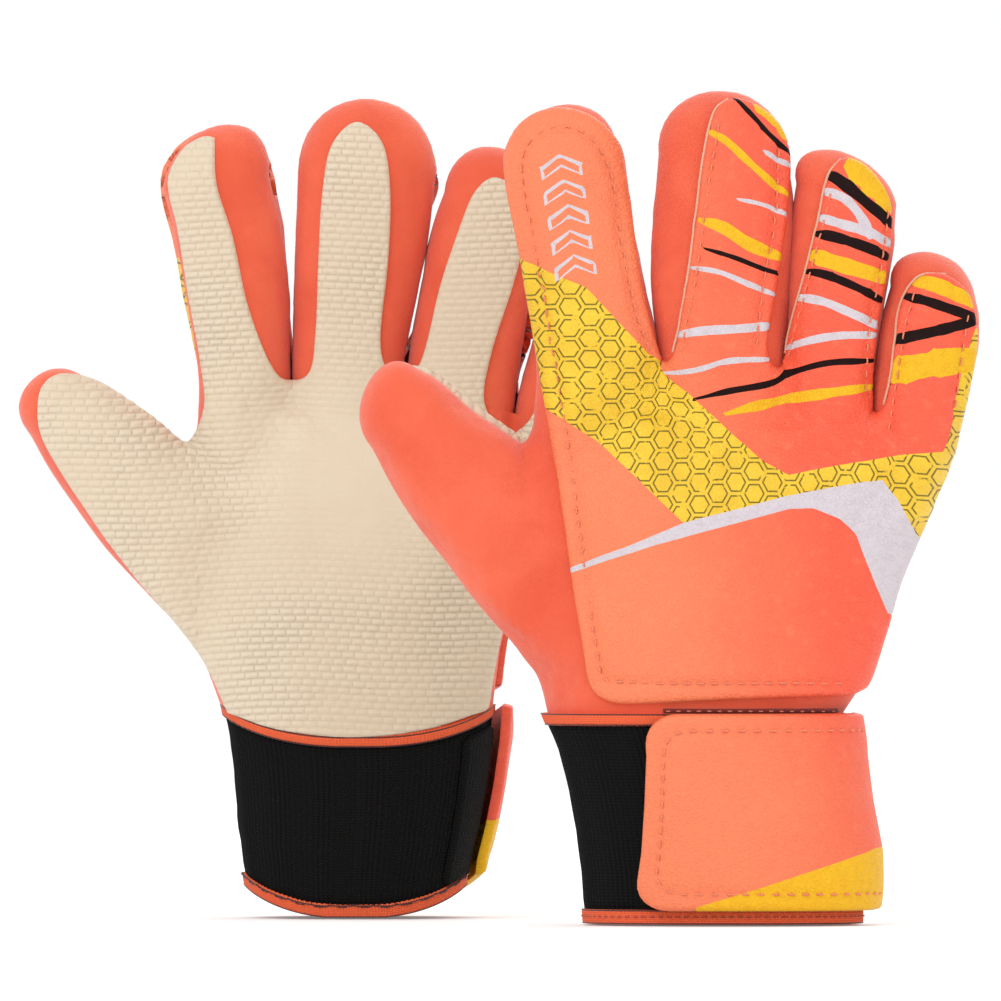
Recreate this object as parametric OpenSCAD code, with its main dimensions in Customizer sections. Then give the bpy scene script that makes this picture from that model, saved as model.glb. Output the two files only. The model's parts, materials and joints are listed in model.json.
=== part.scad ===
// A pair of goalkeeper gloves standing on their cuffs, the right glove in front of the left one.
// The left glove turns its latex palm to -Y, and the right glove turns its printed back to -Y.
// The origin is on the floor, at the middle of the pair. +X runs from the thumbs to the little fingers.

/* [Fabric] */
// Thickness of the fabric shell and the finger stalls
shell_t = 1.6; // [1.2:0.1:1.6]
// Thickness of the latex foam on the palm side
latex_t = 1.6; // [1.2:0.1:2.4]
// Thickness of the printed panels on the backs of the fingers
panel_t = 1.6; // [1.2:0.1:2.4]
// Thickness of the foam pad on the back of the hand
pad_t = 2.8; // [2:0.1:3.2]
// Thickness of the knitted lining inside the hand
lining_t = 0.5; // [0.4:0.1:0.8]

/* [Cuff] */
// Height at which the cuff meets the hand
cuff_h = 52; // [50:0.5:52]
// Thickness of the black elastic
elastic_t = 1.8; // [1.4:0.1:2]
// Height of the binding round the hem
hem_h = 3.4; // [2.8:0.1:4]
// Height of the binding between the cuff and the hand
binding_h = 4; // [3:0.5:5]

/* [Strap] */
// Height of the closing strap
strap_h = 49; // [40:0.5:49]
// Thickness of the closing strap
strap_t = 2.6; // [2:0.1:3]
// Angle round the cuff at which the strap's free end stops, from the little-finger side
strap_end = 115; // [105:1:122]

/* [Pair] */
// Distance between the middle planes of the two gloves, front to back
pair_depth = 106; // [106:1:140]

/* [Hidden] */
FINGERS = ["index", "middle", "ring", "little"];
SIDES = ["left", "right"];
HAND_PARTS = [
    "hand_shell", "hand_lining", "palm_latex", "backhand_pad", "wrist_elastic", "wrist_binding",
    "hem_binding", "loop_patch", "strap_anchor", "strap", "hook_patch", "thumb_stall", "thumb_latex"
];
FINGER_PARTS = ["stall", "latex", "back_panel"];
NODES = concat(
    [for (s = SIDES) for (p = HAND_PARTS) str(s, "_", p)],
    [for (s = SIDES) for (f = FINGERS) for (p = FINGER_PARTS) str(s, "_", f, "_", p)]
);
node = "all";

gap = 0.3;                  // between layers that are glued or sewn face to face
roundness = 0.83;           // 1 makes an ellipse, and less makes a squarer cross-section
half_t = 10.5;              // half the thickness of a finger stall
finger_curl = 5;            // how far a fingertip leans towards the palm
finger_steps = 12;          // points round a finger stall
hand_steps = 24;            // points round the hand shell
cuff_steps = 24;            // points round the cuff
clear_of_fold = 0.6;        // from the hand's shell to the plane that the thumb folds on
latex_clear = 2.2;          // from the palm's latex to that plane
base_clear = 0.5;           // from a knuckle plane to the finger above it
swell = 30;                 // distance over which a finger grows from its base width to its full width
hook_gap = 0.45;            // between the hook patch and the loop patch under it

latex_in = [-gap - latex_t, -gap];
panel_in = [-gap - panel_t, -gap];
pad_in = [-gap - pad_t, -gap];
shell_in = [0, shell_t];
lining_in = [shell_t + gap, shell_t + gap + lining_t];
elastic_in = [0, elastic_t];
binding_in = [-1.2, -0.1];
hem_in = [-0.8, 2.6];
loop_in = [-1.3, -0.1];
hook_in = [loop_in[0] - hook_gap - 1.1, loop_in[0] - hook_gap];
strap_in = [-2.9 - strap_t, -2.9];
anchor_in = [-2.6, -0.2];
strap_z = [cuff_h + 0.5 - strap_h, cuff_h + 0.5];
strap_start = -10;          // angle of the fold that the strap opens on

// Each glove: where its cuff stands, and its cuff's two rims as [middle x, half width, half depth]
LEFT_AT = [-37.27, pair_depth / 2 - 1, 0];
RIGHT_AT = [57.73, -pair_depth / 2 - 1, 0];
LEFT_CUFF = [[0, 30, 26], [-0.5, 33, 25.5]];
RIGHT_CUFF = [[-3, 34.5, 24], [-10.2, 36.3, 23.5]];

// Cross-sections of the hand: thumb edge x, z, little-finger edge x, z, y, half thickness, rise of the middle
LEFT_HAND = [
    [-34, 53, 33.5, 53.5, 0, 25.5, 0],
    [-38, 60, 36, 61.5, 0, 24.5, 0],
    [-44, 70, 38.5, 72, 0, 22.5, 0],
    [-52, 93, 46, 91, 0, 18.5, 0],
    [-47, 116, 56, 109, 0, 14.5, 0],
    [-39.5, 128, 61.5, 119, 0, 11, 6.5]
];
RIGHT_HAND = [
    [-46, 53, 28, 53.5, 0, 23.5, 0],
    [-52, 60, 35, 61.5, 0, 23, 0],
    [-60, 69.5, 38, 72, 0, 21.5, 0],
    [-66, 94, 44.5, 92, 0, 18, 0],
    [-62, 117, 53, 110, 0, 14.5, 0],
    [-47.5, 126, 57, 119.5, 0, 11, 6]
];
// The pad on the back of the hand: its two edges at each of those cross-sections
LEFT_PAD = [[-26, 28], [-28, 31], [-29, 34], [-30, 41], [-32, 50], [-37, 58]];
RIGHT_PAD = [[-34, 25], [-36, 30], [-38, 34], [-41, 40], [-44, 48], [-46, 53]];

// The thumb, from its fold line to its tip, in the same form as the hand
LEFT_THUMB = [
    [-38, 61, -41.5, 119.5, 0, 11.5, 0],
    [-50, 74.5, -48, 121.5, 0, 12.2, 0],
    [-62, 89, -56, 127, 0, 12.2, 0],
    [-72, 103, -64, 132.5, 0, 11.6, 0],
    [-80, 117, -71, 136.5, 0, 10, 0],
    [-84, 128, -78, 138, 0, 7, 0],
    [-83.5, 133, -80.5, 137, 0, 3.2, 0]
];
RIGHT_THUMB = [
    [-54, 63, -57, 119, 0, 11.5, 0],
    [-63, 78, -62.5, 122.5, 0, 12.2, 0],
    [-74, 95, -68, 128, 0, 12.2, 0],
    [-83, 109, -73.5, 132, 0, 11.6, 0],
    [-90, 121, -79, 136, 0, 10, 0],
    [-93, 129, -84, 138, 0, 7, 0],
    [-92.3, 133.5, -88.5, 137.3, 0, 3.2, 0]
];

// Fingers: knuckle x, z, lean from upright, length, half width at the knuckle, full half width
LEFT_FINGERS = [
    [-28, 131, -7.5, 67.5, 11.3, 13.3],
    [-2.5, 133.5, 2.5, 71.5, 13.1, 14.8],
    [24, 130, 9, 63.5, 12.4, 13.3],
    [49.5, 124, 14.5, 47, 11.5, 12.3]
];
RIGHT_FINGERS = [
    [-33, 130, -9, 74, 13, 15],
    [-6.5, 131.3, 4.5, 76, 12.6, 15],
    [20.5, 128.3, 8.5, 64.5, 12, 12.3],
    [45.5, 124, 11, 44, 11.5, 12.2]
];

// ---- Cross-sections ----

function signed_pow(v, e) = sign(v) * pow(abs(v), e);
function mix(a, b, s) = a + (b - a) * s;
function smooth(s) = let (t = min(max(s, 0), 1)) t * t * (3 - 2 * t);

// The point of cross-section r at an angle, moved inwards by depth d.
// Angle 0 is the little-finger edge, 90 the back, 180 the thumb edge and 270 the palm.
function ring_point(r, angle, d) =
    let (
        half = [r[2] - r[0], r[3] - r[1]] / 2,
        share = (norm(half) - d) / norm(half),
        across = signed_pow(cos(angle), roundness),
        out = signed_pow(sin(angle), roundness)
    )
    [
        (r[0] + r[2]) / 2 + half[0] * share * across,
        r[4] + (r[5] - d) * out,
        (r[1] + r[3]) / 2 + half[1] * share * across + r[6] * (1 - across * across)
    ];

// The angle on the back at which cross-section r passes x
function angle_at(r, x) =
    let (share = 2 * (x - (r[0] + r[2]) / 2) / (r[2] - r[0]))
    abs(share) >= 1 ? (share > 0 ? 4 : 176) : acos(signed_pow(share, 1 / roundness));

// Points of cross-section r from angle a0 to angle a1
function arc(r, a0, a1, steps, d) = [for (i = [0:steps]) ring_point(r, mix(a0, a1, i / steps), d)];
function loop(r, steps, d) = [for (i = [0:steps - 1]) ring_point(r, 360 * i / steps, d)];

// The same cross-sections with one more halfway between each two
function finer(rings) = [for (i = [0:0.5:len(rings) - 1])
    floor(i) == i ? rings[i] : mix(rings[floor(i)], rings[ceil(i)], 0.5)];

function cuff_ring(rims, z) =
    let (s = z / cuff_h, c = mix(rims[0], rims[1], s))
    [c[0] - c[1], z, c[0] + c[1], z, 0, c[2], 0];

// One cross-section of a finger at a distance from its knuckle, narrowed for the rounded tip, d inside its surface
function finger_ring(f, distance, narrow, d) =
    let (
        across = [cos(f[2]), -sin(f[2])],
        middle = [f[0], f[1]] + distance * [sin(f[2]), cos(f[2])],
        half_w = (mix(f[4], f[5], smooth(distance / swell)) - d) * narrow,
        y = -finger_curl * pow(distance / f[3], 2)
    )
    [
        middle[0] - across[0] * half_w, middle[1] - across[1] * half_w,
        middle[0] + across[0] * half_w, middle[1] + across[1] * half_w,
        y, (half_t - d) * narrow, 0
    ];

// A finger's cross-sections: shares of the straight part, then angles over the rounded tip
function finger_rings(f, d, shares, tip_angles) =
    let (dome = f[5] - d, straight = f[3] - f[5])
    concat(
        [for (s = shares) finger_ring(f, base_clear + (straight - base_clear) * s, 1, d)],
        [for (a = tip_angles) finger_ring(f, straight + dome * sin(a), cos(a), d)]
    );

// The thumb's cross-sections, with the inner ones drawn back from the tip by a share of their spacing
function drawn_back(rings, share) =
    [for (i = [0:len(rings) - 1])
        i == 0 ? rings[0] : mix(rings[i], rings[i - 1], share * pow(i / (len(rings) - 1), 3))];

// ---- Solids between two grids of points ----

function flatten(rows) = [for (row = rows) each row];

// A closed solid between an outer and an inner grid. Its rows run up, and its columns run round.
// A closed one joins its last column to its first, and a capped one closes over its last row.
module skin(outer, inner, closed = false, capped = false) {
    n = len(outer[0]);
    m = len(outer) - 1;
    size = n * (m + 1);
    last = closed ? n - 1 : n - 2;
    function at(row, column) = row * n + column % n;
    walls = [for (j = [0:m - 1]) for (i = [0:last])
        let (a = at(j, i), b = at(j, i + 1), c = at(j + 1, i + 1), d = at(j + 1, i))
        each [
            [a, c, b], [a, d, c],
            [a + size, b + size, c + size], [a + size, c + size, d + size]
        ]];
    base = [for (i = [0:last])
        let (a = at(0, i), b = at(0, i + 1))
        each [[a, b, b + size], [a, b + size, a + size]]];
    top = capped
        ? [for (i = [1:n - 2])
            let (o = at(m, 0), a = at(m, i), b = at(m, i + 1))
            each [[o, b, a], [o + size, a + size, b + size]]]
        : [for (i = [0:last])
            let (a = at(m, i), b = at(m, i + 1))
            each [[b, a, a + size], [b, a + size, b + size]]];
    ends = closed ? [] : [for (j = [0:m - 1])
        let (a = at(j, 0), d = at(j + 1, 0), b = at(j, n - 1), c = at(j + 1, n - 1))
        each [
            [d, a, a + size], [d, a + size, d + size],
            [b, c, c + size], [b, c + size, b + size]
        ]];
    polyhedron(points = concat(flatten(outer), flatten(inner)), faces = concat(walls, base, top, ends));
}

// A sheet over part of each cross-section: spans holds each one's first and last angle
module sheet(rings, spans, depths, steps) {
    skin(
        [for (i = [0:len(rings) - 1]) arc(rings[i], spans[i][0], spans[i][1], steps, depths[0])],
        [for (i = [0:len(rings) - 1]) arc(rings[i], spans[i][0], spans[i][1], steps, depths[1])]
    );
}

// A tube, open at both ends
module tube(rings, depths, steps) {
    skin([for (r = rings) loop(r, steps, depths[0])], [for (r = rings) loop(r, steps, depths[1])], closed = true);
}

function same_span(rings, a0, a1) = [for (r = rings) [a0, a1]];

// ---- Fingers ----

STRAIGHT = [0, 0.2, 0.45, 0.7, 0.9];
TIP = [0, 28, 50, 68, 80];

module finger_stall(f) {
    color("orangered")
    skin(
        [for (r = finger_rings(f, 0, STRAIGHT, TIP)) loop(r, finger_steps, 0)],
        [for (r = finger_rings(f, shell_t, STRAIGHT, TIP)) loop(r, finger_steps, 0)],
        closed = true, capped = true
    );
}

// A layer on the front or the back of a finger, at depths measured inwards from the stall's surface
module finger_layer(f, depths, a0, a1) {
    shares = [0, 0.25, 0.55, 0.85];
    tip = [0, 30, 52];
    outer = finger_rings(f, depths[0], shares, tip);
    inner = finger_rings(f, depths[1], shares, tip);
    skin([for (r = outer) arc(r, a0, a1, 5, 0)], [for (r = inner) arc(r, a0, a1, 5, 0)]);
}

module finger_latex(f) {
    color("wheat") finger_layer(f, latex_in, 222, 318);
}

module finger_back_panel(f) {
    color("coral") finger_layer(f, panel_in, 40, 140);
}

// ---- Thumb ----

module thumb_stall(rings) {
    outer = rings;
    inner = drawn_back(rings, 0.5);
    color("orangered")
    skin(
        [for (r = outer) loop(r, finger_steps, 0)],
        [for (r = inner) loop(r, finger_steps, shell_t)],
        closed = true, capped = true
    );
}

module thumb_latex(rings) {
    covered = [for (i = [0:4]) i == 0 ? mix(rings[0], rings[1], 0.06) : rings[i]];
    color("wheat") sheet(covered, same_span(covered, 215, 325), latex_in, 6);
}

// ---- Hand ----

// The shell's thumb side is open where the thumb joins it, from the plane that the thumb folds on
function fold_x(thumb, z) = mix(thumb[0][0], thumb[0][2], (z - thumb[0][1]) / (thumb[0][3] - thumb[0][1]));
function open_angle(r, thumb, clear) = angle_at(r, fold_x(thumb, mix(r[1], r[3], 0.05)) + clear);
function open_spans(hand, thumb, clear) =
    [for (i = [0:len(hand) - 1])
        let (a = i == len(hand) - 1 ? 176 : open_angle(hand[i], thumb, clear)) [-a, a]];

module hand_shell(hand, thumb) {
    color("orangered") sheet(hand, open_spans(hand, thumb, clear_of_fold), shell_in, hand_steps);
}

module hand_lining(hand, thumb) {
    color("dimgray") sheet(hand, open_spans(hand, thumb, clear_of_fold), lining_in, hand_steps);
}

module palm_latex(hand, thumb) {
    spans = [for (s = open_spans(hand, thumb, latex_clear)) [360 - min(s[1], 160), 360 - 14]];
    color("wheat") sheet(hand, spans, latex_in, 14);
}

module backhand_pad(hand, edges) {
    rings = [for (i = [0:len(hand) - 1]) i == 0 ? mix(hand[0], hand[1], 0.7) : hand[i]];
    spans = [for (i = [0:len(hand) - 1]) [angle_at(rings[i], edges[i][1]), angle_at(rings[i], edges[i][0])]];
    color("coral") sheet(rings, spans, pad_in, 14);
}

// ---- Cuff ----

module wrist_elastic(rims) {
    levels = [hem_h + gap, cuff_h / 2, cuff_h - 2];
    color("black") tube([for (z = levels) cuff_ring(rims, z)], elastic_in, cuff_steps);
}

module wrist_binding(rims) {
    levels = [cuff_h + 0.6 - binding_h, cuff_h + 0.6];
    color("orangered") tube([for (z = levels) cuff_ring(rims, z)], binding_in, cuff_steps);
}

// The hem is a plain ring with a flat foot
module hem_binding(rims) {
    foot = cuff_ring(rims, hem_h / 2);
    function rim(d) = [for (p = loop(foot, cuff_steps * 2, d)) [p[0], p[1]]];
    color("orangered")
    linear_extrude(height = hem_h)
    difference() {
        polygon(rim(hem_in[0]));
        polygon(rim(hem_in[1]));
    }
}

module cuff_sheet(rims, levels, angles, depths, steps) {
    rings = [for (z = levels) cuff_ring(rims, z)];
    sheet(rings, same_span(rings, angles[0], angles[1]), depths, steps);
}

module loop_patch(rims) {
    color("darkslategray") cuff_sheet(rims, [8, cuff_h - 6], [52, 142], loop_in, 8);
}

module strap_anchor(rims) {
    color("coral") cuff_sheet(rims, [hem_h + 1, cuff_h - 5], [-42, strap_start - 5], anchor_in, 4);
}

module strap(rims) {
    color("coral") cuff_sheet(rims, [strap_z[0], cuff_h / 2, strap_z[1]], [strap_start, strap_end], strap_in, 16);
}

module hook_patch(rims) {
    color("dimgray") cuff_sheet(rims, [11, cuff_h - 9], [strap_end - 48, strap_end - 6], hook_in, 5);
}

// ---- The two gloves ----

// A glove's parts are drawn with the palm at -Y. The right glove is turned over in y.
module placed(side) {
    if (side == "left") translate(LEFT_AT) children();
    else translate(RIGHT_AT) mirror([0, 1, 0]) children();
}

function wants(side, part) = node == "all" || node == str(side, "_", part);

module glove(side, rims, hand, pad, thumb, fingers) {
    if (wants(side, "hand_shell")) placed(side) hand_shell(hand, thumb);
    if (wants(side, "hand_lining")) placed(side) hand_lining(hand, thumb);
    if (wants(side, "palm_latex")) placed(side) palm_latex(hand, thumb);
    if (wants(side, "backhand_pad")) placed(side) backhand_pad(hand, pad);
    if (wants(side, "wrist_elastic")) placed(side) wrist_elastic(rims);
    if (wants(side, "wrist_binding")) placed(side) wrist_binding(rims);
    if (wants(side, "hem_binding")) placed(side) hem_binding(rims);
    if (wants(side, "loop_patch")) placed(side) loop_patch(rims);
    if (wants(side, "strap_anchor")) placed(side) strap_anchor(rims);
    if (wants(side, "strap")) placed(side) strap(rims);
    if (wants(side, "hook_patch")) placed(side) hook_patch(rims);
    if (wants(side, "thumb_stall")) placed(side) thumb_stall(thumb);
    if (wants(side, "thumb_latex")) placed(side) thumb_latex(thumb);
    for (i = [0:len(FINGERS) - 1]) {
        if (wants(side, str(FINGERS[i], "_stall"))) placed(side) finger_stall(fingers[i]);
        if (wants(side, str(FINGERS[i], "_latex"))) placed(side) finger_latex(fingers[i]);
        if (wants(side, str(FINGERS[i], "_back_panel"))) placed(side) finger_back_panel(fingers[i]);
    }
}

glove("left", LEFT_CUFF, finer(LEFT_HAND), finer(LEFT_PAD), LEFT_THUMB, LEFT_FINGERS);
glove("right", RIGHT_CUFF, finer(RIGHT_HAND), finer(RIGHT_PAD), RIGHT_THUMB, RIGHT_FINGERS);
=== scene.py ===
"""A pair of goalkeeper gloves: padded fabric, embossed latex, printed panels, elastic cuffs and straps.

Shapes are in millimetres in a glove's own axes: x from the thumb to the little finger, y from the palm
to the back, z up along the fingers. build() turns them into metres in the frame's axes.
"""

import json
import math

import bpy
import numpy as np
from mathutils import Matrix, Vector
from mathutils.bvhtree import BVHTree
from mathutils.geometry import delaunay_2d_cdt
from mathutils.kdtree import KDTree

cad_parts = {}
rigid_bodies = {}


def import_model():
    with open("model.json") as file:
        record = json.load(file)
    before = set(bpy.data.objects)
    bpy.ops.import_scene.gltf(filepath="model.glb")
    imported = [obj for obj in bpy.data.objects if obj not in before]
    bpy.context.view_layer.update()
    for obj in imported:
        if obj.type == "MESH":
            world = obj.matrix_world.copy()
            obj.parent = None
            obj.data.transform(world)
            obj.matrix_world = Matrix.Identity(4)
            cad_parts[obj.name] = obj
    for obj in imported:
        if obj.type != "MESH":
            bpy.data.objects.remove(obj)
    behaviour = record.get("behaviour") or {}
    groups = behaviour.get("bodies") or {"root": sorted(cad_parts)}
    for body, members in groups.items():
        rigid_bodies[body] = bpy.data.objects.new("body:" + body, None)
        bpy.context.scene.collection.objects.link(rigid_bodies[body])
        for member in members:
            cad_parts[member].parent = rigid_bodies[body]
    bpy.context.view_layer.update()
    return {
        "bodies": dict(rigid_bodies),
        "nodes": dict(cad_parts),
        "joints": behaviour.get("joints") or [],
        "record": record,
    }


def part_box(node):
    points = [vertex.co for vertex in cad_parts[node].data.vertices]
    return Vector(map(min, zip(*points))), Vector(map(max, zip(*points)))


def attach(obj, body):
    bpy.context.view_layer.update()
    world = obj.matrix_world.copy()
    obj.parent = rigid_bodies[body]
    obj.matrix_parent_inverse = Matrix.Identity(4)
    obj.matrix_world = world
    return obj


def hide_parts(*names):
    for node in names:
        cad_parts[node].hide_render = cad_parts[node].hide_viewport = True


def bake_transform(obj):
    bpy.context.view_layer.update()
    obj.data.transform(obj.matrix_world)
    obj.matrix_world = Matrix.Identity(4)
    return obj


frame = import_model()

FINGERS = ["index", "middle", "ring", "little"]
JOINTS = {j["name"]: j for j in frame["joints"]}

# ---- Sizes ----

CUFF_TOP = 52.0         # height at which the cuff meets the hand
ROUNDNESS = 0.86        # 1 makes an elliptical cross-section, and less makes a squarer one
CURL = 5.0              # how far a fingertip leans towards the palm
SHELL = 1.2             # thickness of the orange fabric
LATEX = 1.7             # thickness of the latex foam
PANEL = 1.8             # thickness of the printed back
ELASTIC = 1.6
COARSE, CLOTH_SCALE, CLOTH_FRAMES = 4.2, 0.01, 16
CLOTH_PRESSURE = 0.05   # enough to pucker the skin; much more only blows it up like a balloon
CLOTH_SPARE, CLOTH_REACH = 0.01, 1.5   # how much too large the cloth is cut, and how far it may move in mm
ROW, BAR = 1.75, 3.1  # the latex's emboss: height of a row and length of a bar
WORN = ((1.0, 112.0), (25.0, 26.0))  # where the palm's emboss is pressed flat: centre and reach
STRAP_SPAN = (-10, 111.5)  # angles round the cuff of the strap's fold and of its free end
ANCHOR_SPAN = (-42, -12)   # and of its sewn end
LOOP_SPAN = (52, 103)      # and of the loop patch
HOOK_SPAN = (67, 102)      # and of the hook patch
STRAP, STRAP_OFF = 2.4, 2.9  # thickness of the strap, and how far its inner face lies off the elastic
VOXEL = 1.1             # mesh size of the padded base
KNUCKLE_BLEND = 22.0    # length over which a finger would bend at its knuckle; it only sets an end point that is not used
FOLD_BLEND = 18.0       # length over which the thumb would bend at its fold; it only sets an end point that is not used
FOLD_HALF = 29.3        # from the middle of the thumb's fold to the crotch between thumb and index
STALL_STEPS = 72        # points round a finger stall
TUCK = 3.5              # how far a finger stall reaches into the hand
SCALLOP = 8.0           # how far the left cuff's hem rises at its sides
DIP = 7.0               # how far the left cuff's upper edge dips in the middle

# Cross-sections: thumb-side edge x, z, little-finger-side edge x, z, half thickness
HAND = {
    "left": [
        (-34, 49, 33, 49, 25.2), (-38, 60, 34.3, 60, 24.5), (-42, 71, 36.5, 72, 22.5),
        (-46, 92, 44.5, 91, 19), (-44, 112, 56, 109, 15.5), (-40, 127, 61.5, 119, 12),
    ],
    "right": [
        (-46, 49, 24.5, 49, 23.2), (-49, 61, 32.5, 61.5, 23), (-55, 72, 36.8, 72.5, 21.5),
        (-57, 94, 43.8, 92.5, 18.5), (-55, 112, 50.5, 112, 15.5), (-49, 127, 54.5, 120, 12),
    ],
}
THUMB = {
    "left": [
        (-18, 68, -16, 107, 13), (-35.5, 63, -38, 116, 14), (-46, 73, -45.5, 118.5, 14),
        (-55.3, 83, -49, 121.3, 13.6), (-64, 92.5, -53.5, 125, 13.2), (-71.7, 103, -58.3, 128.6, 12.6),
        (-78.2, 112.5, -64, 132.4, 11.6), (-83.2, 121.5, -69, 135.2, 9.8),
    ],
    "right": [
        (-26, 70, -24, 108, 13), (-46.5, 62, -50, 116, 14), (-56, 70.5, -54.5, 120.3, 14),
        (-64.9, 80.5, -59, 123.5, 13.6), (-72, 90, -65.5, 127.8, 13.2), (-79, 98.8, -71, 132.8, 12.6),
        (-85, 108, -75, 136, 11.6), (-90.5, 118.5, -79.5, 138.3, 9.8),
    ],
}
THUMB_TIP = {"left": (-82.7, 134.8), "right": (-91.5, 134.5)}
FINGER = {
    "left": {
        "index": [(-38, 104, -16, 108), (-40.8, 120, -16.5, 124), (-40.7, 136, -17.5, 139),
                  (-43.7, 156, -17.8, 158), (-46.7, 171, -19.9, 173), (-49.5, 183, -23, 186)],
        "middle": [(-16, 106, 10, 106), (-17, 124, 11, 124), (-17, 140, 11, 140),
                   (-16.6, 158, 14.3, 157), (-16.2, 173, 17.2, 172), (-15.6, 187, 19, 187)],
        "ring": [(9, 106, 34, 102), (11, 123, 37.5, 119), (11.8, 139, 39, 134),
                 (14.7, 157, 42, 152), (17.6, 172, 43.5, 167), (21, 182, 43.8, 179)],
        "little": [(33, 103, 55, 98), (37, 117, 59.5, 113), (39, 130, 62.3, 127),
                   (42.5, 143, 66, 139), (46, 154, 69, 150), (48.5, 159, 69.7, 156.5)],
    },
    "right": {
        "index": [(-48, 104, -20, 108), (-50.3, 121, -19, 124), (-49.5, 138, -18.9, 141),
                  (-51.4, 157, -22.8, 161), (-54.2, 172, -26, 175), (-57, 187, -29, 190)],
        "middle": [(-17, 106, 13, 104), (-19, 124, 13.4, 122), (-19.4, 141, 12.5, 140),
                   (-21, 160, 13.8, 160), (-20.6, 175, 14.6, 175), (-19, 191, 13.1, 192)],
        "ring": [(11, 104, 30, 100), (12.8, 121, 32.3, 118), (12.7, 138, 33.6, 134),
                 (12.9, 158, 36.6, 152), (13.6, 173, 39.3, 167), (15.2, 184, 40, 179)],
        "little": [(28, 102, 44.5, 98), (31.6, 117, 51.5, 114), (33, 130, 56, 127.5),
                   (34.6, 142, 60, 141), (36.3, 151, 60.6, 149.5), (38.5, 158.5, 59.5, 156)],
    },
}
FINGER_TIP = {
    "left": {"index": (-34.3, 198.7), "middle": (1.5, 205.2), "ring": (33.7, 193.3), "little": (60.3, 170.3)},
    "right": {"index": (-43, 203.5), "middle": (-4.5, 207), "ring": (25, 192.3), "little": (47.8, 167)},
}
# The left ring finger's printed back reaches over the gap beside the little finger
GAP_SHARE = {"left": (0.5, 0.5, 1.5), "right": (0.5, 0.5, 0.5)}
FINGER_THICK = [12, 11.6, 11.2, 10.8, 10.6, 10.4]
THUMB_CREASE = {"left": (-0.5, 1.0), "right": (-0.35, 1.0)}  # from the crotch, between thumb and index

# The cuff: height, thumb-side edge, little-finger-side edge, half depth
CUFF = {
    "left": [(0, -28.5, 26, 25.8), (8, -29.5, 26.8, 26), (18, -30.8, 29, 26), (30, -31.5, 31, 25.8),
             (42, -32.6, 32.5, 25.6), (52.6, -34.5, 33.2, 25.4)],
    "right": [(0, -37.2, 31, 23.9), (8, -37.8, 31.2, 24), (18, -38.8, 31, 24), (30, -40.7, 28.8, 23.8),
              (42, -43.4, 27.2, 23.6), (52.6, -47.8, 26.6, 23.4)],
}

# The palm's latex on the left glove, round from the wrist and up the little-finger side
PALM = [
    (-32.6, 51.5), (-32.6, 51.5), (-20, 47), (-2, 45), (16, 47), (31.5, 52), (31.5, 52), (33, 62),
    (35, 72), (38, 82), (44, 94), (52, 106), (58.5, 117), (61, 126), (63.7, 137), (66, 149), (65.3, 158),
    (59.5, 165), (52.5, 161), (49, 150), (45.5, 137), (44, 127), (39, 121), (34.5, 123), (31, 130),
    (33, 142), (38.5, 160), (40.5, 172), (39, 182), (34, 185.7), (29.5, 183), (26, 176), (20.5, 159),
    (17, 144), (14.5, 137.5), (10.5, 135.5), (6.5, 137.5), (5, 146), (7, 165), (7.5, 183), (5.5, 194.5),
    (-0.8, 199.5), (-7, 194), (-9.3, 183), (-10.3, 165), (-11, 148), (-12.5, 137), (-17.5, 134.8),
    (-22, 137.5), (-28, 153), (-32, 171), (-36, 184), (-36.5, 195.5), (-36.5, 195.5), (-39.5, 195.4),
    (-44, 192.5), (-47.2, 187), (-47.5, 182), (-45, 171.5), (-42, 153), (-39.6, 140), (-38.6, 128),
    (-42.5, 119), (-46.5, 120.3), (-53.5, 125.8), (-58.5, 129.3), (-64.5, 133), (-71, 135.6),
    (-77, 135.5), (-80.6, 131), (-80.3, 123), (-76, 114.2), (-69.5, 104.2), (-62, 93.4), (-53.6, 83),
    (-44.8, 73), (-37.8, 63),
]
# The printed back on the right glove, round from the wrist's thumb side
BACK = [
    (-32, 55.8), (-36, 60), (-38.5, 73), (-41, 88.5), (-47, 130), (-52.5, 164.5), (-56.7, 187), (-55, 195.5),
    (-50, 200.6), (-43, 202.3), (-35.5, 200), (-29.5, 193.5), (-27.6, 184), (-25.5, 168), (-23, 154),
    (-20, 143.5), (-17.5, 140), (-15, 142), (-13, 152), (-10, 173.5), (-8, 190), (-5.5, 201), (-1, 204.6),
    (5, 203), (10.5, 198), (12.8, 190), (12, 175), (9.5, 157), (7.5, 144), (9.5, 138.5), (12.5, 141),
    (15.5, 153), (18, 163), (20.5, 174), (23, 185.5), (27, 189.8), (33, 187), (37.6, 180), (38, 172),
    (36.5, 160), (34.5, 148), (33.5, 136), (34.5, 127.5), (37.5, 129), (39, 136), (40, 144.5), (41.5, 154),
    (45.5, 160.5), (51.5, 161.3), (57, 157), (59, 150), (59.3, 143), (57.3, 133), (55, 123), (52.5, 113),
    (48.2, 103.5), (44, 94), (40, 84), (36.8, 73), (33, 61.5), (30, 58.3), (24, 57), (0, 56), (-24, 55),
]


# ---- Small geometry ----

def same(p):
    return p


def at(points):
    return np.array(points, float)


def smooth(t):
    t = np.clip(t, 0, 1)
    return t * t * (3 - 2 * t)


def unit(v):
    return v / np.maximum(np.linalg.norm(v, axis=-1, keepdims=True), 1e-9)


def power(v, e):
    return np.sign(v) * np.abs(v) ** e


def noise(p, scale, seed=0.0):
    """A soft, repeatable wave pattern from -1 to 1 over points of any dimension."""
    q = np.atleast_2d(p) / scale
    total = np.zeros(len(q))
    for k in range(5):
        turn = np.array([math.sin(2.1 * k + seed + a * 1.7) for a in range(q.shape[1])])
        total += np.sin(q @ turn * (1.7 + 0.9 * k) + k * 2.4 + seed)
    return total / 5


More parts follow.
